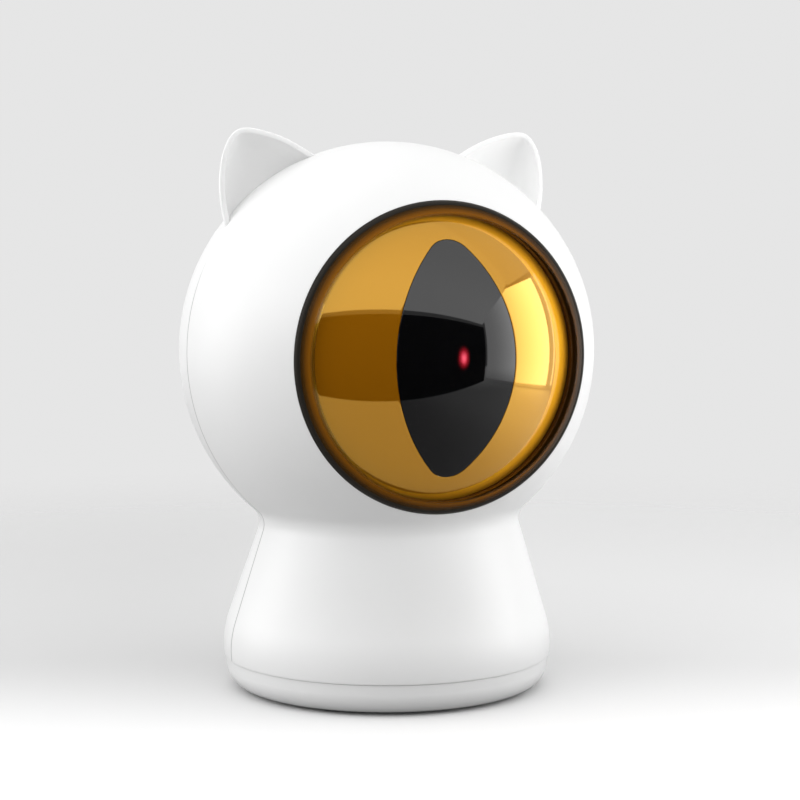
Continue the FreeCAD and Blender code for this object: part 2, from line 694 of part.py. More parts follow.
def eye_lens():
    """Clear dome with a skirt and a flange that the ring's back holds."""
    edge = RING_INNER_R - FIT
    ahead = eye_point(0, -REACH)
    back = eye_point(0, LENS_FLANGE_Y + LENS_FLANGE)
    dome = ball(LENS_R, HEAD_CENTRE).common(rod(edge, ahead, back))
    hollow = ball(LENS_R - LENS_WALL, HEAD_CENTRE).common(rod(edge - LENS_SKIRT, ahead, back))
    flange = rod(STACK_R - FIT, eye_point(0, LENS_FLANGE_Y), back)
    return dome.fuse(flange).cut(hollow)


def pupil_prism(grow):
    """A slit-shaped prism along the eye's axis: two long arcs joined by two small tips."""
    width, height, tip = PUPIL_HALF_WIDTH + grow, PUPIL_HALF_HEIGHT + grow, PUPIL_TIP_R + grow
    side_r = ((height - tip) ** 2 + width ** 2 - tip ** 2) / (2 * (width - tip))
    centre = side_r - width
    reach = side_r / (side_r - tip)
    join_x = centre * reach - centre
    join_z = (height - tip) * reach
    def at(x, z):
        return Vector(x, -HEAD_R - 1, HEAD_Z + z)
    wire = outline(at(join_x, -join_z), (at(width, 0), at(join_x, join_z)),
                   (at(0, height), at(-join_x, join_z)), (at(-width, 0), at(-join_x, -join_z)),
                   (at(0, -height), at(join_x, -join_z)))
    return Part.Face(wire).extrude(Y * HEAD_R)


def iris_layer(outer, inner):
    centre = Vector(0, IRIS_CENTRE_Y, HEAD_Z)
    return ball(outer, centre).cut(ball(inner, centre))


def iris_shell():
    """Amber dome with the slit opening, a sloped band and a flange."""
    inner_r = IRIS_R - IRIS_WALL
    side = IRIS_EDGE_R + IRIS_BAND
    edge = dome_point(IRIS_R, IRIS_CENTRE_Y, IRIS_EDGE_R)
    inner_edge = IRIS_EDGE_R - IRIS_WALL
    inner = dome_point(inner_r, IRIS_CENTRE_Y, inner_edge)
    shell = turned(outline(eye_point(0, IRIS_APEX_Y),
                           (dome_point(IRIS_R, IRIS_CENTRE_Y, IRIS_EDGE_R / 2), edge),
                           eye_point(side, edge.y + IRIS_BAND), eye_point(side, IRIS_FLANGE_Y),
                           eye_point(STACK_R - FIT, IRIS_FLANGE_Y), eye_point(STACK_R - FIT, IRIS_BACK_Y),
                           eye_point(side - IRIS_WALL, IRIS_BACK_Y),
                           eye_point(side - IRIS_WALL, inner.y + IRIS_BAND), inner,
                           (dome_point(inner_r, IRIS_CENTRE_Y, inner_edge / 2),
                            eye_point(0, IRIS_APEX_Y + IRIS_WALL))))
    return shell.cut(pupil_prism(FIT))


def pupil_window():
    """Dark window flush in the iris, with a lip round its back that rests on the iris."""
    lip_r = IRIS_R - IRIS_WALL - FIT
    rim = pupil_prism(0).cut(pupil_prism(-IRIS_WALL))
    lip = pupil_prism(PUPIL_LIP).cut(pupil_prism(-IRIS_WALL))
    face = iris_layer(IRIS_R, IRIS_R - IRIS_WALL).common(pupil_prism(0))
    return join([face, iris_layer(IRIS_R - IRIS_WALL / 2, lip_r - PUPIL_LIP_WALL).common(rim),
                 iris_layer(lip_r, lip_r - PUPIL_LIP_WALL).common(lip)])


def eye_retainer():
    """Ring that pushes the stack home, with four screw lugs behind the collar."""
    front = IRIS_BACK_Y + FIT
    skirt = tube(STACK_R - FIT, RETAINER_INNER_R, eye_point(0, front), eye_point(0, RETAINER_Y))
    back = RETAINER_Y + RETAINER_PLATE
    plate = tube(COLLAR_R, RETAINER_INNER_R, eye_point(0, RETAINER_Y), eye_point(0, back))
    parts = [skirt, plate]
    for seat in retainer_screw_seats():
        parts.append(rod(RETAINER_LUG_R, Vector(seat.x, RETAINER_Y, seat.z), seat))
    ring = join(parts)
    for seat in retainer_screw_seats():
        ring = ring.cut(screw_hole(RETAINER_SCREW, seat, -Y))
    return ring


# ---- gears

def polar(radius, degrees):
    angle = math.radians(degrees)
    return Vector(radius * math.cos(angle), radius * math.sin(angle), 0)


def involute_turn(base_r, radius):
    """Degrees that an involute has turned by when it reaches a radius."""
    if radius <= base_r:
        return 0.0
    slope = math.sqrt((radius / base_r) ** 2 - 1)
    return math.degrees(slope - math.atan(slope))


def gear(teeth, thickness, bore, tooth_at):
    """An involute spur gear about Z from z = 0, with a tooth centred at the angle tooth_at."""
    pitch_r = GEAR_MODULE * teeth / 2
    base_r = pitch_r * math.cos(math.radians(PRESSURE_ANGLE))
    tip_r = pitch_r + ADDENDUM * GEAR_MODULE
    root_r = pitch_r - DEDENDUM * GEAR_MODULE
    start_r = max(base_r, root_r)
    tooth_width = math.pi * GEAR_MODULE / 2 - BACKLASH
    half = math.degrees(tooth_width / (2 * pitch_r)) + involute_turn(base_r, pitch_r)

    def flank(radius):
        return half - involute_turn(base_r, radius)

    middle_r = (start_r + tip_r) / 2
    edges = []
    for i in range(teeth):
        at = tooth_at + 360.0 * i / teeth
        foot, tip = flank(start_r), flank(tip_r)
        next_foot = at + 360.0 / teeth - foot
        points = [polar(root_r, at - foot), polar(start_r, at - foot), polar(tip_r, at - tip),
                  polar(tip_r, at + tip), polar(start_r, at + foot), polar(root_r, at + foot)]
        if start_r > root_r:
            edges.append(Part.LineSegment(points[0], points[1]).toShape())
        edges.append(Part.Arc(points[1], polar(middle_r, at - flank(middle_r)), points[2]).toShape())
        edges.append(Part.Arc(points[2], polar(tip_r, at), points[3]).toShape())
        edges.append(Part.Arc(points[3], polar(middle_r, at + flank(middle_r)), points[4]).toShape())
        if start_r > root_r:
            edges.append(Part.LineSegment(points[4], points[5]).toShape())
        gap = polar(root_r, (at + foot + next_foot) / 2)
        edges.append(Part.Arc(points[5], gap, polar(root_r, next_foot)).toShape())
    body = Part.Face(Part.Wire(edges)).extrude(Z * thickness)
    return body.cut(Part.makeCylinder(bore, thickness))


def flat_gear(teeth, thickness, bore, tooth_at, place):
    """A gear whose axis is upright, with its underside at place."""
    body = gear(teeth, thickness, bore, tooth_at)
    body.translate(place)
    return body


def side_gear(teeth, thickness, bore, tooth_at, place):
    """A gear whose axis is level, along +X from place. Its angle 0 is +Y and 90 is +Z."""
    body = gear(teeth, thickness, bore, tooth_at)
    body.rotate(Vector(0, 0, 0), Z, 90)
    body.rotate(Vector(0, 0, 0), Y, 90)
    body.translate(place)
    return body


# ---- frame and pan drive

def at_pan(z):
    return Vector(0, PIVOT_Y, z)


def at_pan_motor(z):
    return Vector(0, PAN_MOTOR_Y, z)


def mech_frame():
    """Plate on the rear half's posts that carries the pan bush and the pan motor."""
    side_x, side_y = POST_SIDE
    margin = POST_R + FRAME_MARGIN
    half = [(TONGUE_HALF, PIVOT_Y - TONGUE_FRONT), (TONGUE_HALF, PIVOT_Y + TONGUE_BACK),
            (side_x + margin, side_y - margin), (side_x + margin, side_y + margin),
            (margin, POST_BACK_Y + margin)]
    points = [Vector(x, y, FRAME_Z) for x, y in half] + [Vector(-x, y, FRAME_Z) for x, y in reversed(half)]
    plate = Part.Face(outline(*points)).extrude(Z * FRAME_THICK)
    boss_r = PAN_SHAFT_R + FIT + BUSH_WALL + BUSH_BOSS_WALL
    frame = join([plate, rod(boss_r, at_pan(BUSH_BOTTOM_Z), at_pan(FRAME_Z))])
    frame = frame.cut(rod(PAN_SHAFT_R + FIT + BUSH_WALL + PRESS, at_pan(0), at_pan(REACH)))
    frame = frame.cut(rod(PAN_MOTOR_PILOT_R + FIT, at_pan_motor(0), at_pan_motor(REACH)))
    for x, y in frame_post_places():
        frame = frame.cut(screw_hole(FRAME_SCREW, Vector(x, y, FRAME_TOP_Z), -Z))
    for seat in pan_motor_screw_seats():
        frame = frame.cut(screw_hole(MOTOR_SCREW, seat, Z, PILOT_EXTRA))
    for side in (1, -1):
        x = sorted((side * (side_x - WINDOW_IN), side * (side_x - WINDOW_IN + WINDOW_WIDTH)))
        frame = frame.cut(box(x, (0.0, side_y - margin), (FRAME_Z, FRAME_TOP_Z)))
    return frame


def pan_bush():
    """Flanged bearing bush for the pan shaft."""
    inner = PAN_SHAFT_R + FIT
    outer = inner + BUSH_WALL
    body = rod(outer, at_pan(BUSH_BOTTOM_Z), at_pan(FRAME_TOP_Z + BUSH_FLANGE))
    flange = rod(outer + BUSH_FLANGE_OUT, at_pan(FRAME_TOP_Z), at_pan(FRAME_TOP_Z + BUSH_FLANGE))
    return join([body, flange]).cut(rod(inner, at_pan(0), at_pan(REACH)))


def pan_shaft():
    return rod(PAN_SHAFT_R, at_pan(CLIP_Z - CLIP_THICK), at_pan(YOKE_TOP_Z))


def pan_clip():
    """Retaining clip on the lower end of the pan shaft, open at one side."""
    clip = tube(CLIP_R, PAN_SHAFT_R + PRESS, at_pan(CLIP_Z), at_pan(CLIP_Z + CLIP_THICK))
    half = PAN_SHAFT_R * CLIP_MOUTH
    slot = box((-half, half), (PIVOT_Y, PIVOT_Y + CLIP_R), (CLIP_Z, BUSH_BOTTOM_Z))
    return clip.cut(slot)


def pan_gear():
    return flat_gear(PAN_TEETH, PAN_GEAR_THICK, PAN_SHAFT_R + PRESS, 90.0, at_pan(PAN_GEAR_Z))


def pan_pinion():
    half_pitch = 180.0 / PINION_TEETH
    bore = PAN_MOTOR_SHAFT_R + PRESS
    return flat_gear(PINION_TEETH, PINION_TALL, bore, 270.0 + half_pitch, at_pan_motor(PAN_PINION_Z))


def pan_motor_screw_seats():
    z = PAN_MOTOR_TOP_Z - EAR_PLATE
    return [Vector(x, PAN_MOTOR_Y, z) for x in (-PAN_MOTOR_EAR, PAN_MOTOR_EAR)]


def pan_motor():
    """Can motor with a mounting plate, a pilot boss and a terminal block."""
    bottom = PAN_MOTOR_TOP_Z - PAN_MOTOR_HEIGHT
    plate_z = PAN_MOTOR_TOP_Z - EAR_PLATE
    parts = [rod(PAN_MOTOR_R, at_pan_motor(bottom), at_pan_motor(PAN_MOTOR_TOP_Z)),
             rod(PAN_MOTOR_PILOT_R, at_pan_motor(PAN_MOTOR_TOP_Z), at_pan_motor(FRAME_TOP_Z - FIT))]
    for seat in pan_motor_screw_seats():
        parts.append(rod(EAR_END_R, seat, Vector(seat.x, seat.y, PAN_MOTOR_TOP_Z)))
    parts.append(box((-PAN_MOTOR_EAR, PAN_MOTOR_EAR), (PAN_MOTOR_Y - EAR_END_R, PAN_MOTOR_Y + EAR_END_R),
                     (plate_z, PAN_MOTOR_TOP_Z)))
    wide, deep, tall = TERMINAL
    back = PAN_MOTOR_Y + PAN_MOTOR_R
    low = bottom + TERMINAL_UP
    parts.append(box((-wide / 2, wide / 2), (PAN_MOTOR_Y, back + deep), (low, low + tall)))
    motor = join(parts)
    for seat in pan_motor_screw_seats():
        motor = motor.cut(screw_hole(MOTOR_SCREW, seat, Z))
    return motor.cut(rod(PAN_MOTOR_SHAFT_R + FIT, at_pan_motor(bottom + MOTOR_END), at_pan_motor(REACH)))


def pan_motor_shaft():
    start = PAN_MOTOR_TOP_Z - PAN_MOTOR_HEIGHT + MOTOR_END + AXIAL_GAP
    return rod(PAN_MOTOR_SHAFT_R, at_pan_motor(start), at_pan_motor(YOKE_Z - AXIAL_GAP))


# ---- yoke and tilt drive

def at_tilt_motor(x):
    return Vector(x, TILT_MOTOR_Y, HEAD_Z)


def pan_yoke():
    """Fork that turns with the pan gear. Its cheeks carry the laser cradle."""
    back_y = PIVOT_Y + YOKE_BACK
    plate = box((-YOKE_HALF, YOKE_HALF), (PIVOT_Y - YOKE_FRONT, back_y), (YOKE_Z, YOKE_TOP_Z))
    parts = [plate]
    for side in (1, -1):
        x = sorted((side * CHEEK_INNER_X, side * YOKE_HALF))
        parts.append(box(x, (PIVOT_Y - CHEEK_HALF, PIVOT_Y + CHEEK_HALF), (YOKE_Z, HEAD_Z)))
        parts.append(rod(CHEEK_HALF, Vector(x[0], PIVOT_Y, HEAD_Z), Vector(x[1], PIVOT_Y, HEAD_Z)))
    wall_top = HEAD_Z + TILT_MOTOR_EAR + EAR_END_R
    wall_y = (PIVOT_Y + MOTOR_WALL_BACK, back_y - MOTOR_WALL_SHORT)
    parts.append(box((MOTOR_WALL_X, MOTOR_WALL_X + MOTOR_WALL), wall_y, (YOKE_Z, wall_top)))
    yoke = join(parts)
    yoke = yoke.cut(rod(TRUNNION_R + FIT, Vector(-REACH, PIVOT_Y, HEAD_Z), Vector(REACH, PIVOT_Y, HEAD_Z)))
    yoke = yoke.cut(rod(TILT_MOTOR_PILOT_R + FIT, at_tilt_motor(0), at_tilt_motor(CHEEK_INNER_X)))
    yoke = yoke.cut(rod(PAN_SHAFT_R + PRESS, at_pan(0), at_pan(YOKE_TOP_Z)))
    for seat in tilt_motor_screw_seats():
        yoke = yoke.cut(screw_hole(MOTOR_SCREW, seat, X, PILOT_EXTRA))
    return yoke


def tilt_motor_screw_seats():
    x = MOTOR_WALL_X - FIT - EAR_PLATE
    return [Vector(x, TILT_MOTOR_Y, HEAD_Z + z) for z in (-TILT_MOTOR_EAR, TILT_MOTOR_EAR)]


def tilt_motor():
    """Small can motor on the yoke's wall, with a mounting plate and a pilot boss."""
    face = MOTOR_WALL_X - FIT
    end = face - TILT_MOTOR_LENGTH
    parts = [rod(TILT_MOTOR_R, at_tilt_motor(end), at_tilt_motor(face)),
             rod(TILT_MOTOR_PILOT_R, at_tilt_motor(face), at_tilt_motor(MOTOR_WALL_X + MOTOR_WALL - FIT))]
    for seat in tilt_motor_screw_seats():
        parts.append(rod(EAR_END_R, seat, Vector(face, seat.y, seat.z)))
    parts.append(box((face - EAR_PLATE, face), (TILT_MOTOR_Y - EAR_END_R, TILT_MOTOR_Y + EAR_END_R),
                     (HEAD_Z - TILT_MOTOR_EAR, HEAD_Z + TILT_MOTOR_EAR)))
    motor = join(parts)
    for seat in tilt_motor_screw_seats():
        motor = motor.cut(screw_hole(MOTOR_SCREW, seat, X))
    return motor.cut(rod(TILT_MOTOR_SHAFT_R + FIT, at_tilt_motor(end + MOTOR_END), at_tilt_motor(REACH)))


def tilt_motor_shaft():
    start = MOTOR_WALL_X - FIT - TILT_MOTOR_LENGTH + MOTOR_END + AXIAL_GAP
    end = TILT_GEAR_X + TILT_GEAR_THICK + TILT_SHAFT_PROUD
    return rod(TILT_MOTOR_SHAFT_R, at_tilt_motor(start), at_tilt_motor(end))


def tilt_pinion():
    half_pitch = 180.0 / PINION_TEETH
    bore = TILT_MOTOR_SHAFT_R + PRESS
    x = TILT_GEAR_X - PINION_WIDER
    thick = TILT_GEAR_THICK + 2 * PINION_WIDER
    return side_gear(PINION_TEETH, thick, bore, 180.0 + half_pitch, at_tilt_motor(x))


def tilt_gear():
    place = PIVOT + X * TILT_GEAR_X
    return side_gear(TILT_TEETH, TILT_GEAR_THICK, CRADLE_BOSS_R + FIT, 0.0, place)


def tilt_pins():
    """The two pins that the cradle swings on, pressed into its bosses."""
    inner, outer = LASER_R + FIT + PIN_CLEAR, YOKE_HALF + PIN_CLEAR
    return group([rod(TRUNNION_R, PIVOT + X * side * inner, PIVOT + X * side * outer) for side in (1, -1)])


def laser_cradle():
    """Barrel clamp with a boss on each side."""
    back = Vector(0, PIVOT_Y + CRADLE_LENGTH / 2, HEAD_Z)
    front = Vector(0, PIVOT_Y - CRADLE_LENGTH / 2, HEAD_Z)
    reach = CHEEK_INNER_X - AXIAL_GAP
    cradle = join([rod(CRADLE_R, front, back), rod(CRADLE_BOSS_R, PIVOT - X * reach, PIVOT + X * reach)])
    cradle = cradle.cut(rod(LASER_R + FIT, front, back))
    return cradle.cut(rod(TRUNNION_R + PRESS, PIVOT - X * YOKE_HALF, PIVOT + X * YOKE_HALF))


def at_laser(depth):
    """A point on the laser's axis, counted from its front face."""
    return Vector(0, LASER_FRONT_Y + depth, HEAD_Z)


def laser_barrel():
    """Brass barrel with a seat for its lens at the front."""
    barrel = rod(LASER_R, at_laser(0), at_laser(LASER_LENGTH))
    seat = LASER_LENS_SET_BACK + LASER_LENS_THICK
    barrel = barrel.cut(rod(LASER_LENS_R + FIT, at_laser(0), at_laser(seat)))
    return barrel.cut(rod(LASER_BORE_R, at_laser(0), at_laser(LASER_BORE)))


def laser_lens():
    return rod(LASER_LENS_R, at_laser(LASER_LENS_SET_BACK), at_laser(LASER_LENS_SET_BACK + LASER_LENS_THICK))


def laser_driver():
    back = LASER_LENGTH + LASER_DRIVER_THICK
    return rod(LASER_DRIVER_R, at_laser(LASER_LENGTH + FIT), at_laser(back))


# ---- battery and electronics

def battery():
    wide, long, tall = BATTERY
    z = BASE_INNER_Z + BATTERY_PAD
    pouch = box((-wide / 2, wide / 2), (-long / 2, long / 2), (z, z + tall))
    sides = [edge for edge in pouch.Edges if edge.BoundBox.YLength > long / 2]
    return pouch.makeFillet(BATTERY_ROUND, sides)


def battery_pad():
    wide, long = BATTERY[0] - 2 * BATTERY_ROUND, BATTERY[1] - BATTERY_PAD_SHORT
    return box((-wide / 2, wide / 2), (-long / 2, long / 2), (BASE_INNER_Z, BASE_INNER_Z + BATTERY_PAD))


def main_pcb():
    """Circuit board on the base cover's posts, with a nose that reaches the charging port."""
    half = [PCB_FRONT] + PCB_HALF + [(PCB_NOSE_X, usb_mouth_y() - USB_OVERHANG)]
    points = [Vector(x, y, PCB_Z) for x, y in half] + [Vector(-x, y, PCB_Z) for x, y in reversed(half)]
    board = Part.Face(outline(*points)).extrude(Z * PCB_THICK)
    for x, y in pcb_post_places():
        board = board.cut(rod(PCB_SCREW[0] + FIT, Vector(x, y, 0), Vector(x, y, REACH)))
    return board


def on_board(size, x, y):
    """A block on the main board, centred at x and y."""
    wide, deep, tall = size
    return box((x - wide / 2, x + wide / 2), (y - deep / 2, y + deep / 2), (PCB_TOP_Z, PCB_TOP_Z + tall))


def chip(x, y, wide, deep):
    """A packaged chip: its body, raised, and a row of legs on two sides."""
    low, high = PCB_TOP_Z + CHIP_LIFT, PCB_TOP_Z + CHIP_LIFT + CHIP_TALL
    parts = [box((x - wide / 2, x + wide / 2), (y - deep / 2, y + deep / 2), (low, high))]
    count = int(deep / LEG_PITCH)
    reach = wide / 2 + LEG_REACH
    for i in range(count):
        at = y + (i - (count - 1) / 2) * LEG_PITCH
        parts.append(box((x - reach, x + reach), (at - LEG_WIDTH / 2, at + LEG_WIDTH / 2),
                         (PCB_TOP_Z, low + LEG_THICK)))
    return join(parts)


def controller_chip():
    return chip(*CONTROLLER)


def driver_chips():
    x, y, wide, deep = DRIVER
    return group([chip(side * x, y, wide, deep) for side in (-1, 1)])


def capacitors():
    cans = []
    for y in CAPACITOR_YS:
        low = Vector(CAPACITOR_X, y, PCB_TOP_Z)
        cans.append(rod(CAPACITOR_R, low, low + Z * CAPACITOR_TALL))
    return group(cans)


def plug_y():
    """Centre of the battery connector, whose front face meets the battery lead."""
    return PCB_FRONT[1] + BATTERY_PLUG_IN + BATTERY_PLUG[1] / 2


def battery_connector():
    return on_board(BATTERY_PLUG, LEAD_X, plug_y())


def motor_connector():
    return on_board(MOTOR_PLUG, 0.0, MOTOR_PLUG_Y)


def lead(points):
    """A round lead along straight runs that are joined by tangent arcs."""
    edges = []
    here = points[0]
    for i in range(1, len(points) - 1):
        corner = points[i]
        back = (points[i - 1] - corner).normalize()
        ahead = (points[i + 1] - corner).normalize()
        turn = math.pi - back.getAngle(ahead)
        cut = LEAD_BEND * math.tan(turn / 2)
        inward = (back + ahead).normalize()
        middle = corner + inward * (LEAD_BEND / math.cos(turn / 2) - LEAD_BEND)
        edges.append(Part.LineSegment(here, corner + back * cut).toShape())
        edges.append(Part.Arc(corner + back * cut, middle, corner + ahead * cut).toShape())
        here = corner + ahead * cut
    edges.append(Part.LineSegment(here, points[-1]).toShape())
    section = Part.Wire(Part.Circle(points[0], points[1] - points[0], LEAD_R).toShape())
    return Part.Wire(edges).makePipeShell([section], True, True)


def battery_lead():
    start_z = BASE_INNER_Z + BATTERY_PAD + BATTERY[2] / 2
    start_y = -BATTERY[1] / 2 - FIT
    end_y = plug_y() - BATTERY_PLUG[1] / 2 - FIT
    return lead([Vector(LEAD_X, start_y, start_z), Vector(LEAD_X, LEAD_FRONT_Y, start_z),
                 Vector(LEAD_X, LEAD_FRONT_Y, LEAD_IN_Z), Vector(LEAD_X, end_y, LEAD_IN_Z)])


def motor_lead():
    start_y = PAN_MOTOR_Y + PAN_MOTOR_R + TERMINAL[1] + FIT
    start_z = PAN_MOTOR_TOP_Z - PAN_MOTOR_HEIGHT + TERMINAL_UP + TERMINAL[2] / 2
    end_z = PCB_TOP_Z + MOTOR_PLUG[2] + FIT
    return lead([Vector(0, start_y, start_z), Vector(0, MOTOR_PLUG_Y, start_z),
                 Vector(0, MOTOR_PLUG_Y, end_z)])


def stadium(width, height, start_y, end_y):
    half = (width - height) / 2
    ends = [rod(height / 2, Vector(x, start_y, USB_Z), Vector(x, end_y, USB_Z)) for x in (-half, half)]
    return join(ends + [box((-half, half), (start_y, end_y), (USB_Z - height / 2, USB_Z + height / 2))])


def usb_mouth_y():
    return wall_point(USB_Z).y - WALL - USB_SET_BACK


def usb_socket():
    """Reversible charging socket: a stadium-shaped can with a tongue in its mouth."""
    mouth = usb_mouth_y()
    back = mouth - USB_DEPTH
    can = stadium(USB_WIDTH, USB_HEIGHT, back, mouth)
    floor = back + USB_FLOOR
    inner = stadium(USB_WIDTH - 2 * USB_SKIN, USB_HEIGHT - 2 * USB_SKIN, floor, mouth)
    wide, long, thick = USB_TONGUE
    tongue = box((-wide / 2, wide / 2), (back, floor + long), (USB_Z - thick / 2, USB_Z + thick / 2))
    return join([can.cut(inner), tongue])


# ---- power button and its board, drawn about the button's origin

def power_button():
    """Round push button with a flange that stops it inside the wall."""
    flange = along_y(BUTTON_FLANGE_R, 0.0, BUTTON_FLANGE_Y - BUTTON_FLANGE, BUTTON_FLANGE_Y)
    cap = along_y(BUTTON_R, 0.0, BUTTON_FLANGE_Y, BUTTON_PROUD)
    rim = [edge for edge in cap.Edges if edge.BoundBox.YMin > 0.0]
    cap = cap.makeFillet(BUTTON_ROUND, rim[:1])
    return on_wall(join([flange, cap]))


def switch_top_y():
    return SWITCH_BOARD_Y + SWITCH_BOARD[1] + SWITCH_BODY[1]


def switch_plunger():
    start = switch_top_y() - PLUNGER_DEEP
    return on_wall(along_y(PLUNGER_R, 0.0, start, BUTTON_FLANGE_Y - BUTTON_FLANGE - FIT))


def tact_switch():
    wide, deep, tall = SWITCH_BODY
    back = SWITCH_BOARD_Y + SWITCH_BOARD[1]
    body = box((-wide / 2, wide / 2), (back, back + deep), (-tall / 2, tall / 2))
    well = along_y(PLUNGER_R + PLUNGER_RUN, 0.0, back + SWITCH_FLOOR, back + deep)
    return on_wall(body.cut(well))


def switch_board():
    wide, thick, tall = SWITCH_BOARD
    board = box((-wide / 2, wide / 2), (SWITCH_BOARD_Y, SWITCH_BOARD_Y + thick), (-tall / 2, tall / 2))
    for x in (-BOARD_SCREW_X, BOARD_SCREW_X):
        board = board.cut(along_y(PCB_SCREW[0] + FIT, x, SWITCH_BOARD_Y, 0.0))
    return on_wall(board)


def switch_board_screws():
    seats = [Vector(x, SWITCH_BOARD_Y, 0) for x in (-BOARD_SCREW_X, BOARD_SCREW_X)]
    return group([on_wall(screw(PCB_SCREW, seat, Y)) for seat in seats])


def status_led():
    back = SWITCH_BOARD_Y + SWITCH_BOARD[1]
    return on_wall(along_y(LED_R, LIGHT_X, back, back + LED_TALL))


def light_pipe():
    """Clear rod from the lamp to the outside, cut off flush with the wall."""
    start = SWITCH_BOARD_Y + SWITCH_BOARD[1] + LED_TALL + FIT
    return on_wall(along_y(LIGHT_R, LIGHT_X, start, WALL)).common(OUTER[REAR])


# ---- fasteners

def shell_screws():
    return group([screw(SHELL_SCREW, seat, -Y) for seat in shell_screw_seats()])


def base_screws():
    return group([screw(BASE_SCREW, seat, Z) for seat in base_screw_seats()])


def retainer_screws():
    return group([screw(RETAINER_SCREW, seat, -Y) for seat in retainer_screw_seats()])


def frame_screws():
    return group([screw(FRAME_SCREW, Vector(x, y, FRAME_TOP_Z), -Z) for x, y in frame_post_places()])


def pcb_screws():
    return group([screw(PCB_SCREW, Vector(x, y, PCB_TOP_Z), -Z) for x, y in pcb_post_places()])


def pan_motor_screws():
    return group([screw(MOTOR_SCREW, seat, Z) for seat in pan_motor_screw_seats()])


def tilt_motor_screws():
    return group([screw(MOTOR_SCREW, seat, X) for seat in tilt_motor_screw_seats()])


PIECES = [front_shell, rear_shell, base_cover, rubber_feet, lens_ring, eye_lens, iris_shell,
          pupil_window, eye_retainer, mech_frame, pan_bush, pan_shaft, pan_clip, pan_gear,
          pan_pinion, pan_motor, pan_motor_shaft, pan_yoke, tilt_motor, tilt_motor_shaft,
          tilt_pinion, tilt_gear, tilt_pins, laser_cradle, laser_barrel, laser_lens, laser_driver,
          battery, battery_pad, main_pcb, controller_chip, driver_chips, capacitors,
          battery_connector, motor_connector, battery_lead, motor_lead, usb_socket, power_button,
          switch_plunger, tact_switch, switch_board, switch_board_screws, status_led, light_pipe,
          shell_screws, base_screws, retainer_screws, frame_screws, pcb_screws, pan_motor_screws,
          tilt_motor_screws]

os.makedirs("parts", exist_ok=True)
for piece in PIECES:
    shape = piece()
    print(piece.__name__, len(shape.Solids), round(shape.Volume, 2), shape.isValid())
    shape.exportStep("parts/" + piece.__name__ + ".step")
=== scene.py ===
import bpy, bmesh
import json, math
import numpy as np
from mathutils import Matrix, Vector


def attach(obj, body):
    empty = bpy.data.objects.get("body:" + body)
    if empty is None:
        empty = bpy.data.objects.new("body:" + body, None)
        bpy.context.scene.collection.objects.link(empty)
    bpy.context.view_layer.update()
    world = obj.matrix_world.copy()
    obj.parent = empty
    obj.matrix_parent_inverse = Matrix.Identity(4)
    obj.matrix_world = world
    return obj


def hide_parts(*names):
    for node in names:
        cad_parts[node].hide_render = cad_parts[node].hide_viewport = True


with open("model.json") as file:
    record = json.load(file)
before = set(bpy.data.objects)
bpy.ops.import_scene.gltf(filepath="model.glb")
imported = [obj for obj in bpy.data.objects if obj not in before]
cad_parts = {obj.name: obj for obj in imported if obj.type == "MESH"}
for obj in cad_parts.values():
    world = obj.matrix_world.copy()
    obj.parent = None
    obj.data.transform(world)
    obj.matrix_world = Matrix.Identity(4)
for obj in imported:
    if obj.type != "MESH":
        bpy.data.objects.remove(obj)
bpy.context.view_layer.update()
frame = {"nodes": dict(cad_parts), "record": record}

MM = 0.001
WATTS_FOR_GLOW = math.pi

# ---- sizes of the toy in millimetres, in the part's own frame
HEAD_R = 42.5
HEAD_Z = 69.3
WALL = 2.0
BODY_R = 33.8
BODY_R_Z = 9.0
SKIRT_HEIGHT = 5.94
TAPER = 0.325
NECK_LEAD = 1.5
LEAD_FROM_Z = 13.2
LEAD_TO_Z = 36.0
CREASE_R = 3.8
NECK_END_Z = (26.0, 36.5)                     # between these the neck meets its crease
SEAM_GAP = 0.15
EDGE_BREAK = 0.16
BASE_SEAM_Z = 6.65
EYE_HOLE_R = 30.29
RING_INNER_R = 29.4
RING_OUTER_R = 30.24
RING_CROWN = 0.3
RING_FLANGE_Y = -27.36
RING_BACK_Y = -26.0
STACK_R = 31.1
LENS_EDGE_R = 29.35
LENS_INNER_R = 28.1
LENS_FLANGE_Y = -25.95
LENS_BACK_Y = -24.4
LENS_WALL = 2.0
PUPIL_HALF_WIDTH = 12.25
PUPIL_HALF_HEIGHT = 22.8
PUPIL_TIP_R = 5.0
IRIS_R = 42.0
IRIS_CENTRE_Y = 3.6
IRIS_EDGE_R = 26.2
IRIS_SLOPE_R = 28.0
IRIS_SLOPE_DEPTH = 1.9
IRIS_FLANGE_Y = -24.35
IRIS_BACK_Y = -23.0
MIRROR_X = -1.4                               # middle of the bright mirror on the iris
MIRROR_HALF_WIDTH = 24.6
WELL_R = 2.25
WELL_WALL = 1.2
SCREW_SEAT_R = 1.35
SEAT_PLATE = 1.0
HEAD_WELL = (16.9, 101.09)
HEAD_SEAT_Y = 8.0
NECK_WELL = (22.0, 30.0)
NECK_SEAT_Y = 6.0
BASE_SEAT_Z = 7.0
BUTTON_Z = 25.0
BUTTON_TILT = 22.7779
BUTTON_HOLE_R = 4.1
LAMP_X = 8.0
LAMP_HOLE_R = 1.05
PORT_WIDTH = 11.6
PORT_HEIGHT = 6.0
PORT_Z = 13.63
BASE_SCREW_XY = 19.304
CUP_FLAT_R = 29.2
CUP_RIM_RUN = 3.95
CUP_RIM_RISE = 4.4
CUP_RIM_Z = 4.9
CUP_BOTTOM_Z = 0.5
CUP_FLOOR_Z = 2.5
CUP_FLOOR_R = 28.2
CUP_EDGE_R = 33.45
LIP_TOP_Z = 9.0
LIP_WIDTH = 1.5
LIP_PLAY = 0.1
FOOT_R = 4.0
FOOT_HEIGHT = 1.3
FOOT_OUT = 22.0
BEAM_CENTRE = (0.85, -38.0, HEAD_Z + 0.5)
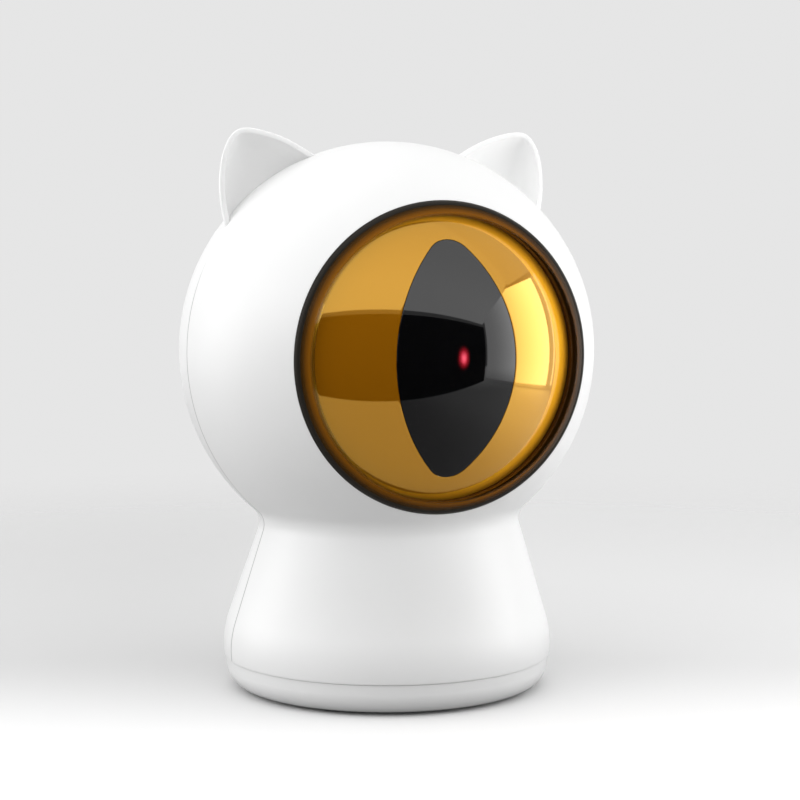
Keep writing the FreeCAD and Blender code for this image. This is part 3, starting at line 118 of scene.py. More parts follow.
BEAM_HALF_WIDTH = 1.7
BEAM_HALF_HEIGHT = 2.9
BEAM_DEPTH = 0.2
FLANK_Z = BODY_R_Z + SKIRT_HEIGHT
FLANK_R = BODY_R - TAPER * SKIRT_HEIGHT / 2


# ---- meshes

def piece(name, points, faces, finish, body, replaced=(), sharp=35.0):
    """A mesh piece from points in millimetres, smooth except at edges sharper than the angle."""
    mesh = bpy.data.meshes.new(name)
    mesh.from_pydata([tuple(float(v) * MM for v in p) for p in points], [], faces)
    mesh.validate()
    made = bpy.data.objects.new(name, mesh)
    bpy.context.scene.collection.objects.link(made)
    mesh.materials.append(finish)
    smooth(made, sharp)
    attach(made, body)
    if replaced:
        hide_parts(*replaced)
    return made


def smooth(made, sharp=35.0):
    made.data.shade_smooth()
    made.data.set_sharp_from_angle(angle=math.radians(sharp))


def face_outwards(made, centre):
    """Turns the faces so that the mesh's outside looks away from a point."""
    made.data.update()
    total = 0.0
    for face in made.data.polygons:
        total += (face.center - Vector(centre) * MM).dot(face.normal) * face.area
    if total < 0:
        made.data.flip_normals()


def applied(made):
    """Bakes the piece's modifiers into its mesh."""
    seen = made.evaluated_get(bpy.context.evaluated_depsgraph_get())
    made.data = bpy.data.meshes.new_from_object(seen)
    made.modifiers.clear()
    smooth(made)


def add(made, kind, **settings):
    modifier = made.modifiers.new(kind.lower(), kind)
    for key, value in settings.items():
        setattr(modifier, key, value)
    return modifier


def strip_faces(rows, columns, closed):
    """Quads of a grid whose points are listed row by row."""
    faces = []
    for i in range(rows - 1):
        for j in range(columns if closed else columns - 1):
            k = (j + 1) % columns
            faces.append((i * columns + j, i * columns + k, (i + 1) * columns + k, (i + 1) * columns + j))
    return faces


def rounded(corners, steps=5):
    """A 2-D line through the corners; a corner (x, y, radius) is rounded."""
    line = []
    for i, corner in enumerate(corners):
        x, y, radius = corner if len(corner) == 3 else (*corner, 0.0)
        here = np.array((x, y), float)
        if radius <= 0 or i in (0, len(corners) - 1):
            line.append(here)
            continue
        back = np.array(corners[i - 1][:2], float) - here
        ahead = np.array(corners[i + 1][:2], float) - here
        back /= np.linalg.norm(back)
        ahead /= np.linalg.norm(ahead)
        half = math.acos(float(np.clip(back.dot(ahead), -1, 1))) / 2
        if half > math.radians(89):
            line.append(here)
            continue
        middle = here + (back + ahead) / np.linalg.norm(back + ahead) * radius / math.sin(half)
        first = here + back * radius / math.tan(half) - middle
        last = here + ahead * radius / math.tan(half) - middle
        for k in range(steps + 1):
            turn = math.pi - 2 * half
            t = k / steps
            arm = (first * math.sin((1 - t) * turn) + last * math.sin(t * turn)) / math.sin(turn)
            line.append(middle + arm)
    return line


def dome(radius, r_from, r_to, steps=60):
    """Points (r, y) on a dome round the head's middle that bulges towards -Y."""
    return [(r, -math.sqrt(radius ** 2 - r ** 2)) for r in np.linspace(r_from, r_to, steps)]


def turned_about_eye(name, profile, finish, body, replaced, segments):
    """A closed profile of (r, y) turned about the eye's axis."""
    return turned(name, profile, lambda r, along, c, s: (r * c, along, HEAD_Z + r * s),
                  finish, body, replaced, segments)


def turned_upright(name, profile, finish, body, replaced, segments, at=(0.0, 0.0)):
    """A closed profile of (r, z) turned about an upright axis."""
    return turned(name, profile, lambda r, along, c, s: (at[0] + r * c, at[1] + r * s, along),
                  finish, body, replaced, segments)


def turned(name, profile, place, finish, body, replaced, segments):
    points = []
    for r, along in profile:
        for k in range(segments):
            a = 2 * math.pi * k / segments
            points.append(place(r, along, math.cos(a), math.sin(a)))
    rows = len(profile)
    faces = strip_faces(rows, segments, True)
    if profile[0][0] > 1e-6:
        faces += [((rows - 1) * segments + k, (rows - 1) * segments + (k + 1) % segments,
                   (k + 1) % segments, k) for k in range(segments)]
    made = piece(name, points, faces, finish, body, replaced)
    tidy(made)
    return made


def tidy(made, sharp=35.0):
    """Merges points that fell together and turns all faces outwards."""
    work = bmesh.new()
    work.from_mesh(made.data)
    bmesh.ops.remove_doubles(work, verts=work.verts, dist=1e-6)
    bmesh.ops.recalc_face_normals(work, faces=work.faces)
    work.to_mesh(made.data)
    work.free()
    smooth(made, sharp)


# ---- finishes

class Wire:
    """An output socket that sums and products can be written with."""

    def __init__(self, finish, socket):
        self.finish = finish
        self.socket = socket

    def math(self, operation, first, second):
        return self.finish.node("ShaderNodeMath", {"operation": operation}, {0: first, 1: second})

    def __add__(self, other):
        return self.math("ADD", self, other)

    def __radd__(self, other):
        return self.math("ADD", other, self)

    def __sub__(self, other):
        return self.math("SUBTRACT", self, other)

    def __rsub__(self, other):
        return self.math("SUBTRACT", other, self)

    def __mul__(self, other):
        return self.math("MULTIPLY", self, other)

    def __rmul__(self, other):
        return self.math("MULTIPLY", other, self)

    def __truediv__(self, other):
        return self.math("DIVIDE", self, other)

    def __pow__(self, other):
        return self.math("POWER", self, other)


class Finish:
    """A material on one principled shader, with its varying inputs drawn by nodes."""

    def __init__(self, name, **constants):
        self.material = bpy.data.materials.new(name)
        self.material.use_nodes = True
        self.nodes = self.material.node_tree.nodes
        self.links = self.material.node_tree.links
        self.shader = self.nodes["Principled BSDF"]
        for key, value in constants.items():
            self.shader.inputs[key.replace("_", " ")].default_value = value

    def node(self, kind, settings=None, inputs=None, output=0):
        made = self.nodes.new(kind)
        for key, value in (settings or {}).items():
            setattr(made, key, value)
        for key, value in (inputs or {}).items():
            self.plug(made.inputs[key], value)
        return Wire(self, made.outputs[output])

    def plug(self, socket, value):
        if isinstance(value, Wire):
            self.links.new(value.socket, socket)
        elif isinstance(value, tuple) and socket.type == "RGBA":
            socket.default_value = (*value, 1)
        else:
            socket.default_value = value

    def place(self, scale=1000.0):
        """Object coordinates, in millimetres by default."""
        where = self.node("ShaderNodeTexCoord", output="Object")
        return self.node("ShaderNodeVectorMath", {"operation": "SCALE"}, {"Vector": where, "Scale": scale})

    def parts(self, vector):
        split = self.node("ShaderNodeSeparateXYZ", inputs={0: vector})
        return [Wire(self, socket) for socket in split.socket.node.outputs]

    def noise(self, vector, scale, detail=3.0, roughness=0.5):
        return self.node("ShaderNodeTexNoise", inputs={"Vector": vector, "Scale": scale, "Detail": detail,
                                                       "Roughness": roughness})

    def mix(self, factor, low, high):
        return self.node("ShaderNodeMix", {"data_type": "RGBA"}, {0: factor, 6: low, 7: high}, output=2)

    def span(self, value, low, high):
        """The value's share of a span, held between 0 and 1 and eased at both ends."""
        return self.node("ShaderNodeMapRange", {"interpolation_type": "SMOOTHSTEP"},
                         {0: value, 1: low, 2: high})

    def bump(self, height, strength, distance):
        self.plug(self.shader.inputs["Normal"],
                  self.node("ShaderNodeBump", inputs={"Strength": strength, "Distance": distance * MM,
                                                      "Height": height}))

    def wear(self, key, value):
        self.plug(self.shader.inputs[key], value)


def moulded(name, colour, shade, roughness, grain=9.0, depth=0.004):
    """Moulded plastic: faint drifts of tone and a fine eroded grain."""
    finish = Finish(name)
    where = finish.place()
    drift = finish.noise(where, 0.03, 2.0)
    finish.wear("Base Color", finish.mix(drift, shade, colour))
    finish.wear("Roughness", roughness + (finish.noise(where, 0.4) - 0.5) * 0.08)
    finish.bump(finish.noise(where, grain, 2.0), 0.35, depth)
    return finish.material


def metal(name, colour, shade, roughness):
    """Drawn or turned metal: a fine clouded grain in colour and roughness."""
    finish = Finish(name, Metallic=1.0)
    where = finish.place()
    cloud = finish.noise(where, 1.5, 6.0, 0.65)
    finish.wear("Base Color", finish.mix(cloud, shade, colour))
    finish.wear("Roughness", roughness + (cloud - 0.5) * 0.15)
    finish.bump(cloud, 0.2, 0.003)
    return finish.material


def white_plastic(name, seam=False, dark=(0.83, 0.832, 0.83), light=(0.865, 0.866, 0.864)):
    """Satin white plastic; on the two halves a fine shadow is painted along their seam, up to the ears."""
    finish = Finish(name, IOR=1.47)
    where = finish.place()
    tone = finish.mix(finish.noise(where, 0.05), dark, light)
    if seam:
        x, y, z = finish.parts(where)
        # painted shadow: the colour turns grey within a third of a millimetre of the seam, fading out between
        # 80 and 90 mm up
        near = finish.span((y * y) ** 0.5, 0.34, 0.16) * finish.span(z, 90.0, 80.0)
        tone = finish.mix(near, tone, (0.5, 0.5, 0.5))
    finish.wear("Base Color", tone)
    finish.wear("Roughness", 0.36 + (finish.noise(where, 0.25) - 0.5) * 0.06)
    finish.bump(finish.noise(where, 14.0, 2.0), 0.22, 0.003)
    return finish.material


def amber_coat():
    """Amber mirror coat under thin lacquer; at its rim and on the slope round it the coat turns satin."""
    finish = Finish("amber_coat", Specular_Tint=(1.0, 0.56, 0.02, 1.0), IOR=4.2, Coat_Weight=1.0,
                    Coat_Roughness=0.03, Coat_IOR=1.5)
    where = finish.place()
    x, y, z = finish.parts(where)
    out = (x * x + (z - HEAD_Z) * (z - HEAD_Z)) ** 0.5
    across = (x - MIRROR_X) / MIRROR_HALF_WIDTH
    upward = (z - HEAD_Z) / IRIS_EDGE_R
    rim = finish.span(across * across + upward * upward, 0.985, 1.03)
    drift = finish.noise(where, 0.08, 3.0)
    body = finish.mix(drift, (0.39, 0.14, 0.002), (0.42, 0.15, 0.003))
    # painted light and shade on the slope round the iris: bright amber at its inner edge for the window's
    # light, darker outwards for the shade in the groove by the ring
    slope = finish.mix(finish.span(out, 26.5, 28.6), (1.0, 0.42, 0.02), (0.4, 0.16, 0.012))
    # painted shade: the slope turns near black towards -X, the side away from the window
    slope = finish.mix(finish.span(x, -8.0, -24.0), slope, (0.1, 0.04, 0.002))
    finish.wear("Base Color", finish.mix(rim, body, slope))
    finish.wear("Roughness", 0.035 + rim * 0.35 + finish.noise(where, 0.6) * 0.02)
    return finish.material


def smoked_glass():
    """Smoked glass with a hard coat that thins out below its middle."""
    finish = Finish("smoked_glass", IOR=1.36, Coat_IOR=1.62, Coat_Roughness=0.03)
    where = finish.place()
    x, y, z = finish.parts(where)
    finish.wear("Coat Weight", finish.span(z - HEAD_Z, -6.0, -1.0))
    drift = finish.noise(where, 0.3)
    finish.wear("Base Color", finish.mix(drift, (0.0015, 0.0015, 0.0018), (0.003, 0.003, 0.0035)))
    finish.wear("Roughness", 0.035 + finish.noise(where, 0.5) * 0.015)
    finish.wear("Alpha", 0.9955 + finish.noise(where, 0.2) * 0.002)
    return finish.material


def clear_glass():
    """Clear dome with painted reflection and shade round its edge: amber for the iris mirrored in the glass,
    fading to near black for the shade by the ring.
    """
    finish = Finish("clear_glass", IOR=1.45, Specular_IOR_Level=0.06)
    where = finish.place()
    x, y, z = finish.parts(where)
    out = (x * x + (z - HEAD_Z) * (z - HEAD_Z)) ** 0.5
    turning = finish.node("ShaderNodeLayerWeight", inputs={"Blend": 0.35}, output="Facing")
    haze = finish.noise(where, 0.2)
    # painted reflection and shade: amber at the inner side, near black by the ring, and the dark comes sooner
    # towards +X where the deep wall inside the ring shows
    shade_reach = out + finish.span(x, 8.0, 29.0) * 0.7
    edge_reflection_and_shade = finish.mix(finish.span(shade_reach, 27.2, 29.4), (0.3, 0.103, 0.003), (0.035, 0.017, 0.004))
    border = finish.span(out, 27.0, 28.1)
    clear = finish.mix(haze, (0.01, 0.009, 0.008), (0.02, 0.018, 0.015))
    finish.wear("Base Color", finish.mix(border, clear, edge_reflection_and_shade))
    finish.wear("Roughness", 0.02 + haze * 0.02 + border * 0.2)
    # the painted edge is nearly opaque, a dark sheet laid over the shaded groove round the iris
    finish.wear("Alpha", 0.01 + turning ** 4.0 * 0.1 + border * 0.88)
    return finish.material


def ring_black():
    finish = Finish("black_ring", IOR=1.45, Specular_IOR_Level=0.15)
    where = finish.place()
    fine = finish.noise(where, 3.0)
    finish.wear("Base Color", finish.mix(fine, (0.016, 0.013, 0.01), (0.024, 0.021, 0.017)))
    finish.wear("Roughness", 0.4 + (fine - 0.5) * 0.08)
    finish.bump(fine, 0.15, 0.002)
    return finish.material


def beam_glow():
    """The laser's beam where it leaves the barrel, brightest in the middle."""
    finish = Finish("laser_glow", Roughness=0.6, Emission_Strength=300.0)
    x, y, z = finish.parts(finish.place())
    across = (x - BEAM_CENTRE[0]) / BEAM_HALF_WIDTH
    upward = (z - BEAM_CENTRE[2]) / BEAM_HALF_HEIGHT
    out = (across * across + upward * upward) ** 0.5
    core = finish.span(out, 0.6, 0.0)
    halo = finish.span(out, 1.0, 0.0)
    finish.wear("Base Color", finish.mix(core, (0.05, 0.0, 0.0), (0.3, 0.01, 0.02)))
    finish.wear("Emission Color", finish.mix(core, (1.0, 0.02, 0.05), (1.0, 0.13, 0.2)))
    finish.wear("Alpha", halo * halo)
    return finish.material


def board():
    finish = Finish("board_green", IOR=1.5)
    where = finish.place()
    weave = finish.noise(where, 2.5, 4.0)
    bands = finish.node("ShaderNodeTexWave", {"wave_type": "BANDS"},
                        {"Vector": where, "Scale": 0.35, "Distortion": 1.5}, output=1)
    tracks = finish.span(bands, 0.55, 0.65)
    green = finish.mix(weave, (0.008, 0.07, 0.03), (0.012, 0.11, 0.045))
    finish.wear("Base Color", finish.mix(tracks * 0.5, green, (0.02, 0.17, 0.07)))
    finish.wear("Roughness", 0.35 + (weave - 0.5) * 0.1)
    finish.bump(tracks, 0.2, 0.03)
    return finish.material


def foil():
    finish = Finish("battery_foil", Metallic=0.9)
    where = finish.place()
    creases = finish.node("ShaderNodeTexVoronoi", {"feature": "F1"}, {"Vector": where, "Scale": 0.18})
    finish.wear("Base Color", finish.mix(creases, (0.62, 0.63, 0.65), (0.45, 0.46, 0.48)))
    finish.wear("Roughness", 0.3 + finish.noise(where, 0.8) * 0.15)
    finish.bump(creases, 0.4, 0.08)
    return finish.material


def pipe():
    finish = Finish("clear_pipe", IOR=1.49, Transmission_Weight=0.8)
    where = finish.place()
    finish.wear("Base Color", finish.mix(finish.noise(where, 1.0), (0.86, 0.88, 0.9), (0.95, 0.96, 0.97)))
    finish.wear("Roughness", 0.12 + finish.noise(where, 2.0) * 0.06)
    return finish.material


def rubber():
    finish = Finish("foot_rubber", IOR=1.45)
    where = finish.place()
    grit = finish.noise(where, 5.0, 5.0, 0.7)
    finish.wear("Base Color", finish.mix(grit, (0.42, 0.42, 0.42), (0.55, 0.55, 0.55)))
    finish.wear("Roughness", 0.75 + (grit - 0.5) * 0.2)
    finish.bump(grit, 0.5, 0.03)
    return finish.material


WHITE = white_plastic("white_satin_plastic")
# the ears are the shell's own plastic; their white is painted lighter to lift the shade in their scoops
EAR_PAINTED_LIGHTER = white_plastic("ear_plastic_painted_lighter", dark=(0.945, 0.946, 0.944), light=(0.96, 0.96, 0.958))
SHELL = white_plastic("white_shell_plastic", seam=True)
AMBER = amber_coat()
SMOKED = smoked_glass()
CLEAR = clear_glass()
RING = ring_black()
RUBBER = rubber()
FINISHES = {
    "white_shell": WHITE, "black_ring": RING, "clear_lens": CLEAR, "amber_metal": AMBER,
    "smoked_window": SMOKED, "foot_rubber": RUBBER, "board_green": board(), "battery_foil": foil(),
    "clear_pipe": pipe(),
    "inner_plastic": moulded("inner_plastic", (0.09, 0.09, 0.095), (0.06, 0.06, 0.065), 0.5),
    "gear_plastic": moulded("gear_plastic", (0.75, 0.72, 0.62), (0.66, 0.63, 0.54), 0.42),
    "chip_black": moulded("chip_black", (0.022, 0.022, 0.024), (0.012, 0.012, 0.013), 0.55, 6.0, 0.01),
    "connector_white": moulded("connector_white", (0.72, 0.7, 0.64), (0.66, 0.64, 0.58), 0.45),
    "foam_pad": moulded("foam_pad", (0.05, 0.05, 0.052), (0.03, 0.03, 0.032), 0.9, 3.0, 0.06),
    "lead_sleeve": moulded("lead_sleeve", (0.55, 0.02, 0.015), (0.42, 0.015, 0.01), 0.4, 4.0, 0.01),
    "steel": metal("steel", (0.66, 0.66, 0.67), (0.5, 0.5, 0.51), 0.28),
    "motor_can": metal("motor_can", (0.58, 0.58, 0.59), (0.42, 0.42, 0.43), 0.34),
    "screw_steel": metal("screw_steel", (0.6, 0.6, 0.61), (0.4, 0.4, 0.41), 0.36),
    "brass": metal("brass", (0.8, 0.6, 0.28), (0.64, 0.45, 0.18), 0.3),
    "socket_steel": metal("socket_steel", (0.64, 0.64, 0.66), (0.46, 0.46, 0.48), 0.26),
    "capacitor_can": metal("capacitor_can", (0.3, 0.32, 0.4), (0.2, 0.21, 0.28), 0.35),
    "laser_glass": moulded("laser_glass", (0.5, 0.04, 0.05), (0.36, 0.02, 0.03), 0.12, 2.0, 0.001),
}


# ---- the outer form

def flank_radius(z):
    skirt = BODY_R - TAPER * (z - BODY_R_Z) ** 2 / (2 * SKIRT_HEIGHT)
    return np.where(z < FLANK_Z, skirt, FLANK_R - TAPER * (z - FLANK_Z))


def flank_lead(z):
    t = np.clip((z - LEAD_FROM_Z) / (LEAD_TO_Z - LEAD_FROM_Z), 0.0, 1.0)
    return NECK_LEAD * t * t * (3 - 2 * t)


def flank_reach(z, c, s):
    """Distance of the body's outside from the upright axis, in the direction (c, s)."""
    lead = flank_lead(z)
    return -s * lead + np.sqrt(flank_radius(z) ** 2 - (lead * c) ** 2)


def crease(c, s):
    """The fillet between neck and head in one direction: its centre (r, z), and the neck's end z and r."""
    low, high = NECK_END_Z
    for _ in range(50):
        z = (low + high) / 2
        r = float(flank_reach(z, c, s))
        slope = float(flank_reach(z + 0.01, c, s) - flank_reach(z - 0.01, c, s)) / 0.02
        n = math.hypot(1.0, slope)
        centre = (r + CREASE_R / n, z - CREASE_R * slope / n)
        if math.hypot(centre[0], centre[1] - HEAD_Z) > HEAD_R + CREASE_R:
            low = z
        else:
            high = z
    return centre, z, r


RAY_SPREAD = math.radians(30)                 # how much wider, on each side, the rays to the neck start
REAR_POLE = math.radians(1.2)                 # where the rear half's rays start, round its hindmost point
MIDDLE_Z = 50.0


def half_shell(side, name, first_angle):
    """The front (-1) or rear (1) half: a skin down to the base seam, thickened inwards.

    It starts at an angle off the eye's axis, which leaves the eye's opening in the front half.
    """
    upper, lower, rows, fillet_rows, flank_rows = 300, 168, 72, 8, 70
    creases = []
    for k in range(lower + 1):
        turn = math.pi * (1 - k / lower)
        c, s = math.cos(turn), side * math.sin(turn)
        creases.append((c, s, *crease(c, s)))
    ends = []
    scale = HEAD_R / (HEAD_R + CREASE_R)
    for c, s, (cr, cz), z, r in creases:
        ends.append((cr * scale * c, cr * scale * s, (cz - HEAD_Z) * scale))
    corner = math.atan2(ends[-1][2], ends[-1][0])
    targets = []
    for k in range(upper):
        turn = corner + (math.pi - 2 * corner) * k / upper
        targets.append((turn, math.pi / 2))
    for x, y, z in ends[:-1]:
        turn = math.atan2(z, x)
        targets.append((turn % (2 * math.pi), math.acos(max(-1.0, min(1.0, abs(y) / HEAD_R)))))
    rays = len(targets)
    left = corner + RAY_SPREAD
    points = []
    for i in range(rows + 1):
        t = i / rows
        for k, (turn, angle) in enumerate(targets):
            if k < upper:
                start = left + (math.pi - 2 * left) * k / upper
            else:
                start = math.pi - left + (2 * left + math.pi) * (k - upper) / (rays - upper)
            a = first_angle + (angle - first_angle) * t
            p = start + (turn - start) * t
            points.append((HEAD_R * math.sin(a) * math.cos(p), side * HEAD_R * math.cos(a),
                           HEAD_Z + HEAD_R * math.sin(a) * math.sin(p)))
    faces = strip_faces(rows + 1, rays, True)
    columns = lower + 1
    last_row = rows * rays
    top = [last_row + upper + k for k in range(lower)] + [last_row]
    base = len(points)
    low_z = BASE_SEAM_Z + SEAM_GAP / 2
    for i in range(1, fillet_rows + flank_rows + 1):
        for c, s, (cr, cz), z, r in creases:
            if i <= fillet_rows:
                first = math.atan2(HEAD_Z - cz, -cr)
                last = math.atan2(z - cz, r - cr)
                last += 2 * math.pi if last < 0 else 0.0
                a = first + (last - first) * i / fillet_rows
                pr, pz = cr + CREASE_R * math.cos(a), cz + CREASE_R * math.sin(a)
            else:
                pz = z + (low_z - z) * (i - fillet_rows) / flank_rows
                pr = float(flank_reach(pz, c, s))
            points.append((pr * c, pr * s, pz))
    grid = [top] + [[base + i * columns + k for k in range(columns)] for i in range(fillet_rows + flank_rows)]
    for i in range(len(grid) - 1):
        for k in range(columns - 1):
            faces.append((grid[i][k], grid[i][k + 1], grid[i + 1][k + 1], grid[i + 1][k]))
    if side > 0:
        points.append((0.0, HEAD_R, HEAD_Z))
        faces += [(k, (k + 1) % rays, len(points) - 1) for k in range(rays)]
    near = side * SEAM_GAP / 2
    held = np.array(points)
    held[:, 1] = np.maximum(held[:, 1], near) if side > 0 else np.minimum(held[:, 1], near)
    made = piece(name, held, faces, SHELL, "housing")
    work = bmesh.new()
    work.from_mesh(made.data)
    bmesh.ops.recalc_face_normals(work, faces=work.faces)
    work.to_mesh(made.data)
    work.free()
    face_outwards(made, (0, 0, MIDDLE_Z))
    add(made, "SOLIDIFY", thickness=WALL * MM, offset=-1.0, use_even_offset=False)
    applied(made)
    if side < 0:
        straighten_eye_hole(made)
    add(made, "BEVEL", width=EDGE_BREAK * MM, segments=2, limit_method="ANGLE", angle_limit=math.radians(55))
    applied(made)
    return made


def straighten_eye_hole(made):
    """Pushes the eye opening's wall out to one radius all the way through."""
    for vertex in made.data.vertices:
        out = math.hypot(vertex.co.x, vertex.co.z - HEAD_Z * MM)
        if out < EYE_HOLE_R * MM:
            vertex.co.x *= EYE_HOLE_R * MM / out
            vertex.co.z = HEAD_Z * MM + (vertex.co.z - HEAD_Z * MM) * EYE_HOLE_R * MM / out


# ---- holes in the rear half and the base

WELL_SUNK = 0.12
BASE_WELL_SUNK = 0.15
PAST_THE_SKIN = 45.0
BUTTON_CUT = (-6.0, 4.0)
PORT_CUT = (24.0, 40.0)
BASE_CUT = (-1.0, 4.2)


def ring_of(radius, steps=64):
    return [(radius * math.cos(2 * math.pi * k / steps), radius * math.sin(2 * math.pi * k / steps))
            for k in range(steps)]


def stadium(width, height, steps=16):
    """A slot's outline: two half circles joined by straight sides."""
    r = height / 2
    line = []
    for side in (1, -1):
        for k in range(steps + 1):
            a = side * math.pi / 2 - math.pi * k / steps
            line.append((side * (width / 2 - r) + r * math.cos(a), r * math.sin(a)))
    return line


def cut(made, outline, start, end, place):
    """Takes a straight prism out of a piece."""
    count = len(outline)
    points = [place(u, v, w) for w in (start, end) for u, v in outline]
    faces = [(k, (k + 1) % count, count + (k + 1) % count, count + k) for k in range(count)]
    faces += [tuple(range(count)), tuple(range(count, 2 * count))]
    mesh = bpy.data.meshes.new("cutter")
    mesh.from_pydata([tuple(float(c) * MM for c in p) for p in points], [], faces)
    tool = bpy.data.objects.new("cutter", mesh)
    bpy.context.scene.collection.objects.link(tool)
    tidy(tool)
    add(made, "BOOLEAN", object=tool, operation="DIFFERENCE", solver="MANIFOLD")
    applied(made)
    bpy.data.objects.remove(tool)


def screw_well(name, start, surface, place):
    """A tube with a screw's seat at its inner end, which opens just under the surface."""
    steps = 96
    outer = WELL_R + WELL_WALL
    rows = []
    for r, level in ((SCREW_SEAT_R, "start"), (outer, "start"), (outer, "surface"), (WELL_R, "surface"),
                     (WELL_R, "plate"), (SCREW_SEAT_R, "plate")):
        row = []
        for k in range(steps):
            a = 2 * math.pi * k / steps
            u, v = r * math.cos(a), r * math.sin(a)
            reach = surface(u, v)
            plate = start + math.copysign(SEAT_PLATE, reach - start)
            row.append(place(u, v, {"start": start, "surface": reach, "plate": plate}[level]))
        rows.append(row)
    rows.append(rows[0])
    points = [p for row in rows for p in row]
    tidy(piece(name, points, strip_faces(len(rows), steps, True), SHELL, "housing"))


def head_back(x, z):
    return math.sqrt(HEAD_R ** 2 - x ** 2 - (z - HEAD_Z) ** 2)


def neck_back(x, z):
    return float(-flank_lead(z) + np.sqrt(flank_radius(z) ** 2 - x ** 2))


def rear_holes(made):
    """Screw wells, button and lamp holes and the charging port."""
    for side, where in ((-1, "left"), (1, "right")):
        for level, (x, z), seat, back in (("head", HEAD_WELL, HEAD_SEAT_Y, head_back),
                                          ("neck", NECK_WELL, NECK_SEAT_Y, neck_back)):
            def place(u, v, w, x=side * x, z=z):
                return x + u, w, z + v

            def surface(u, v, x=side * x, z=z, back=back):
                return back(x + u, z + v) - WELL_SUNK

            cut(made, ring_of(WELL_R), seat, PAST_THE_SKIN, place)
            screw_well(f"{level}_well_{where}", seat - SEAT_PLATE, surface, place)
    turn = math.radians(BUTTON_TILT)
    out = Vector((0.0, math.cos(turn), math.sin(turn)))
    up = Vector((0.0, -math.sin(turn), math.cos(turn)))
    spot = Vector((0.0, neck_back(0.0, BUTTON_Z), BUTTON_Z))
    for x, radius in ((0.0, BUTTON_HOLE_R), (LAMP_X, LAMP_HOLE_R)):
        cut(made, ring_of(radius), *BUTTON_CUT,
            lambda u, v, w: tuple(spot + Vector((x + u, 0, 0)) + up * v + out * w))
    cut(made, stadium(PORT_WIDTH, PORT_HEIGHT), *PORT_CUT, lambda u, v, w: (u, w, PORT_Z + v))


def base_holes(made):
    """Four screw wells under the base."""
    for k, (x, y) in enumerate(((1, 1), (-1, 1), (-1, -1), (1, -1))):
        def place(u, v, w, x=x * BASE_SCREW_XY, y=y * BASE_SCREW_XY):
            return x + u, y + v, w

        def underside(u, v, x=x * BASE_SCREW_XY, y=y * BASE_SCREW_XY):
            out = max(0.0, math.hypot(x + u, y + v) - CUP_FLAT_R)
            return CUP_RIM_Z - CUP_RIM_RISE * math.sqrt(1.0 - (out / CUP_RIM_RUN) ** 2) + BASE_WELL_SUNK

        cut(made, ring_of(WELL_R), *BASE_CUT, place)
        screw_well(f"base_well_{k + 1}", BASE_SEAT_Z, underside, place)


# ---- ears

# EAR_LINE holds (x, height above the head's middle), EAR_BACK and EAR_SCOOP (y, share of the outline),
# and EAR_EDGE (inset from the outline, y)
EAR_LINE = [(31.0, 14.0), (32.6, 18.5), (33.7, 23.0), (34.6, 27.0), (35.2, 30.5), (35.4, 33.5), (35.2, 37.0),
            (34.6, 40.0), (33.5, 42.5), (31.9, 44.25), (29.7, 44.85), (26.2, 44.35), (22.0, 43.05),
            (18.2, 41.2), (14.0, 38.6), (9.0, 34.9)]
EAR_CENTRE = (25.0, 23.7)
EAR_RIM = 1.12
EAR_BACK_CROWN = 0.7
EAR_SCOOP_CROWN = 0.35
EAR_BACK = [(0.45, 1.0), (1.7, 0.975), (3.6, 0.91), (6.2, 0.76), (8.2, 0.48)]
EAR_EDGE = [(0.0, 0.3), (0.04, 0.2), (0.14, 0.11), (0.3, 0.08), (0.8, 0.08), (0.98, 0.12), (1.09, 0.24)]
EAR_SCOOP = [(0.45, 1.0), (1.5, 0.955), (3.0, 0.86), (4.5, 0.66), (5.4, 0.36)]


def smooth_line(corners, count):
    """A smooth line through points, evenly divided."""
    p = np.array(corners, float)
    ends = np.vstack([2 * p[0] - p[1], p, 2 * p[-1] - p[-2]])
    line = []
    for i in range(1, len(ends) - 2):
        a, b, c, d = ends[i - 1], ends[i], ends[i + 1], ends[i + 2]
        for t in np.linspace(0, 1, 24, endpoint=False):
            line.append(0.5 * (2 * b + (c - a) * t + (2 * a - 5 * b + 4 * c - d) * t * t
                               + (3 * b - a - 3 * c + d) * t ** 3))
    line.append(p[-1])
    line = np.array(line)
    run = np.concatenate([[0.0], np.cumsum(np.linalg.norm(np.diff(line, axis=0), axis=1))])
    at = np.linspace(0, run[-1], count)
    return np.stack([np.interp(at, run, line[:, k]) for k in range(2)], axis=1)


def drawn_in(line, inset):
    """The line moved to its inner side."""
    ahead = np.gradient(line, axis=0)
    ahead /= np.linalg.norm(ahead, axis=1)[:, None]
    return line + inset * np.stack([-ahead[:, 1], ahead[:, 0]], axis=1)


def ear(name, side):
    """Cat's ear: rounded behind, a soft rim, and a shallow scoop in front."""
    line = smooth_line(EAR_LINE, 150)
    inner = drawn_in(line, EAR_RIM)
    centre = np.array(EAR_CENTRE)
    rows = [(np.tile(centre, (len(line), 1)), EAR_BACK[-1][0] + EAR_BACK_CROWN)]
    rows += [(centre + (line - centre) * scale, y) for y, scale in smooth_line(EAR_BACK, 24)[::-1]]
    rows += [(drawn_in(line, inset), y) for inset, y in EAR_EDGE]
    rows += [(centre + (inner - centre) * scale, y) for y, scale in smooth_line(EAR_SCOOP, 24)]
    rows.append((np.tile(centre, (len(line), 1)), EAR_SCOOP[-1][0] + EAR_SCOOP_CROWN))
    points = []
    for row, y in rows:
        points += [(side * x, y, HEAD_Z + z) for x, z in row]
    faces = strip_faces(len(rows), len(line), False)
    # the ear wears the white painted lighter against the shade in its scoop
    tidy(piece(name, points, faces, EAR_PAINTED_LIGHTER, "housing", sharp=60.0), 60.0)


# ---- eye

EYE_SEGMENTS = 480


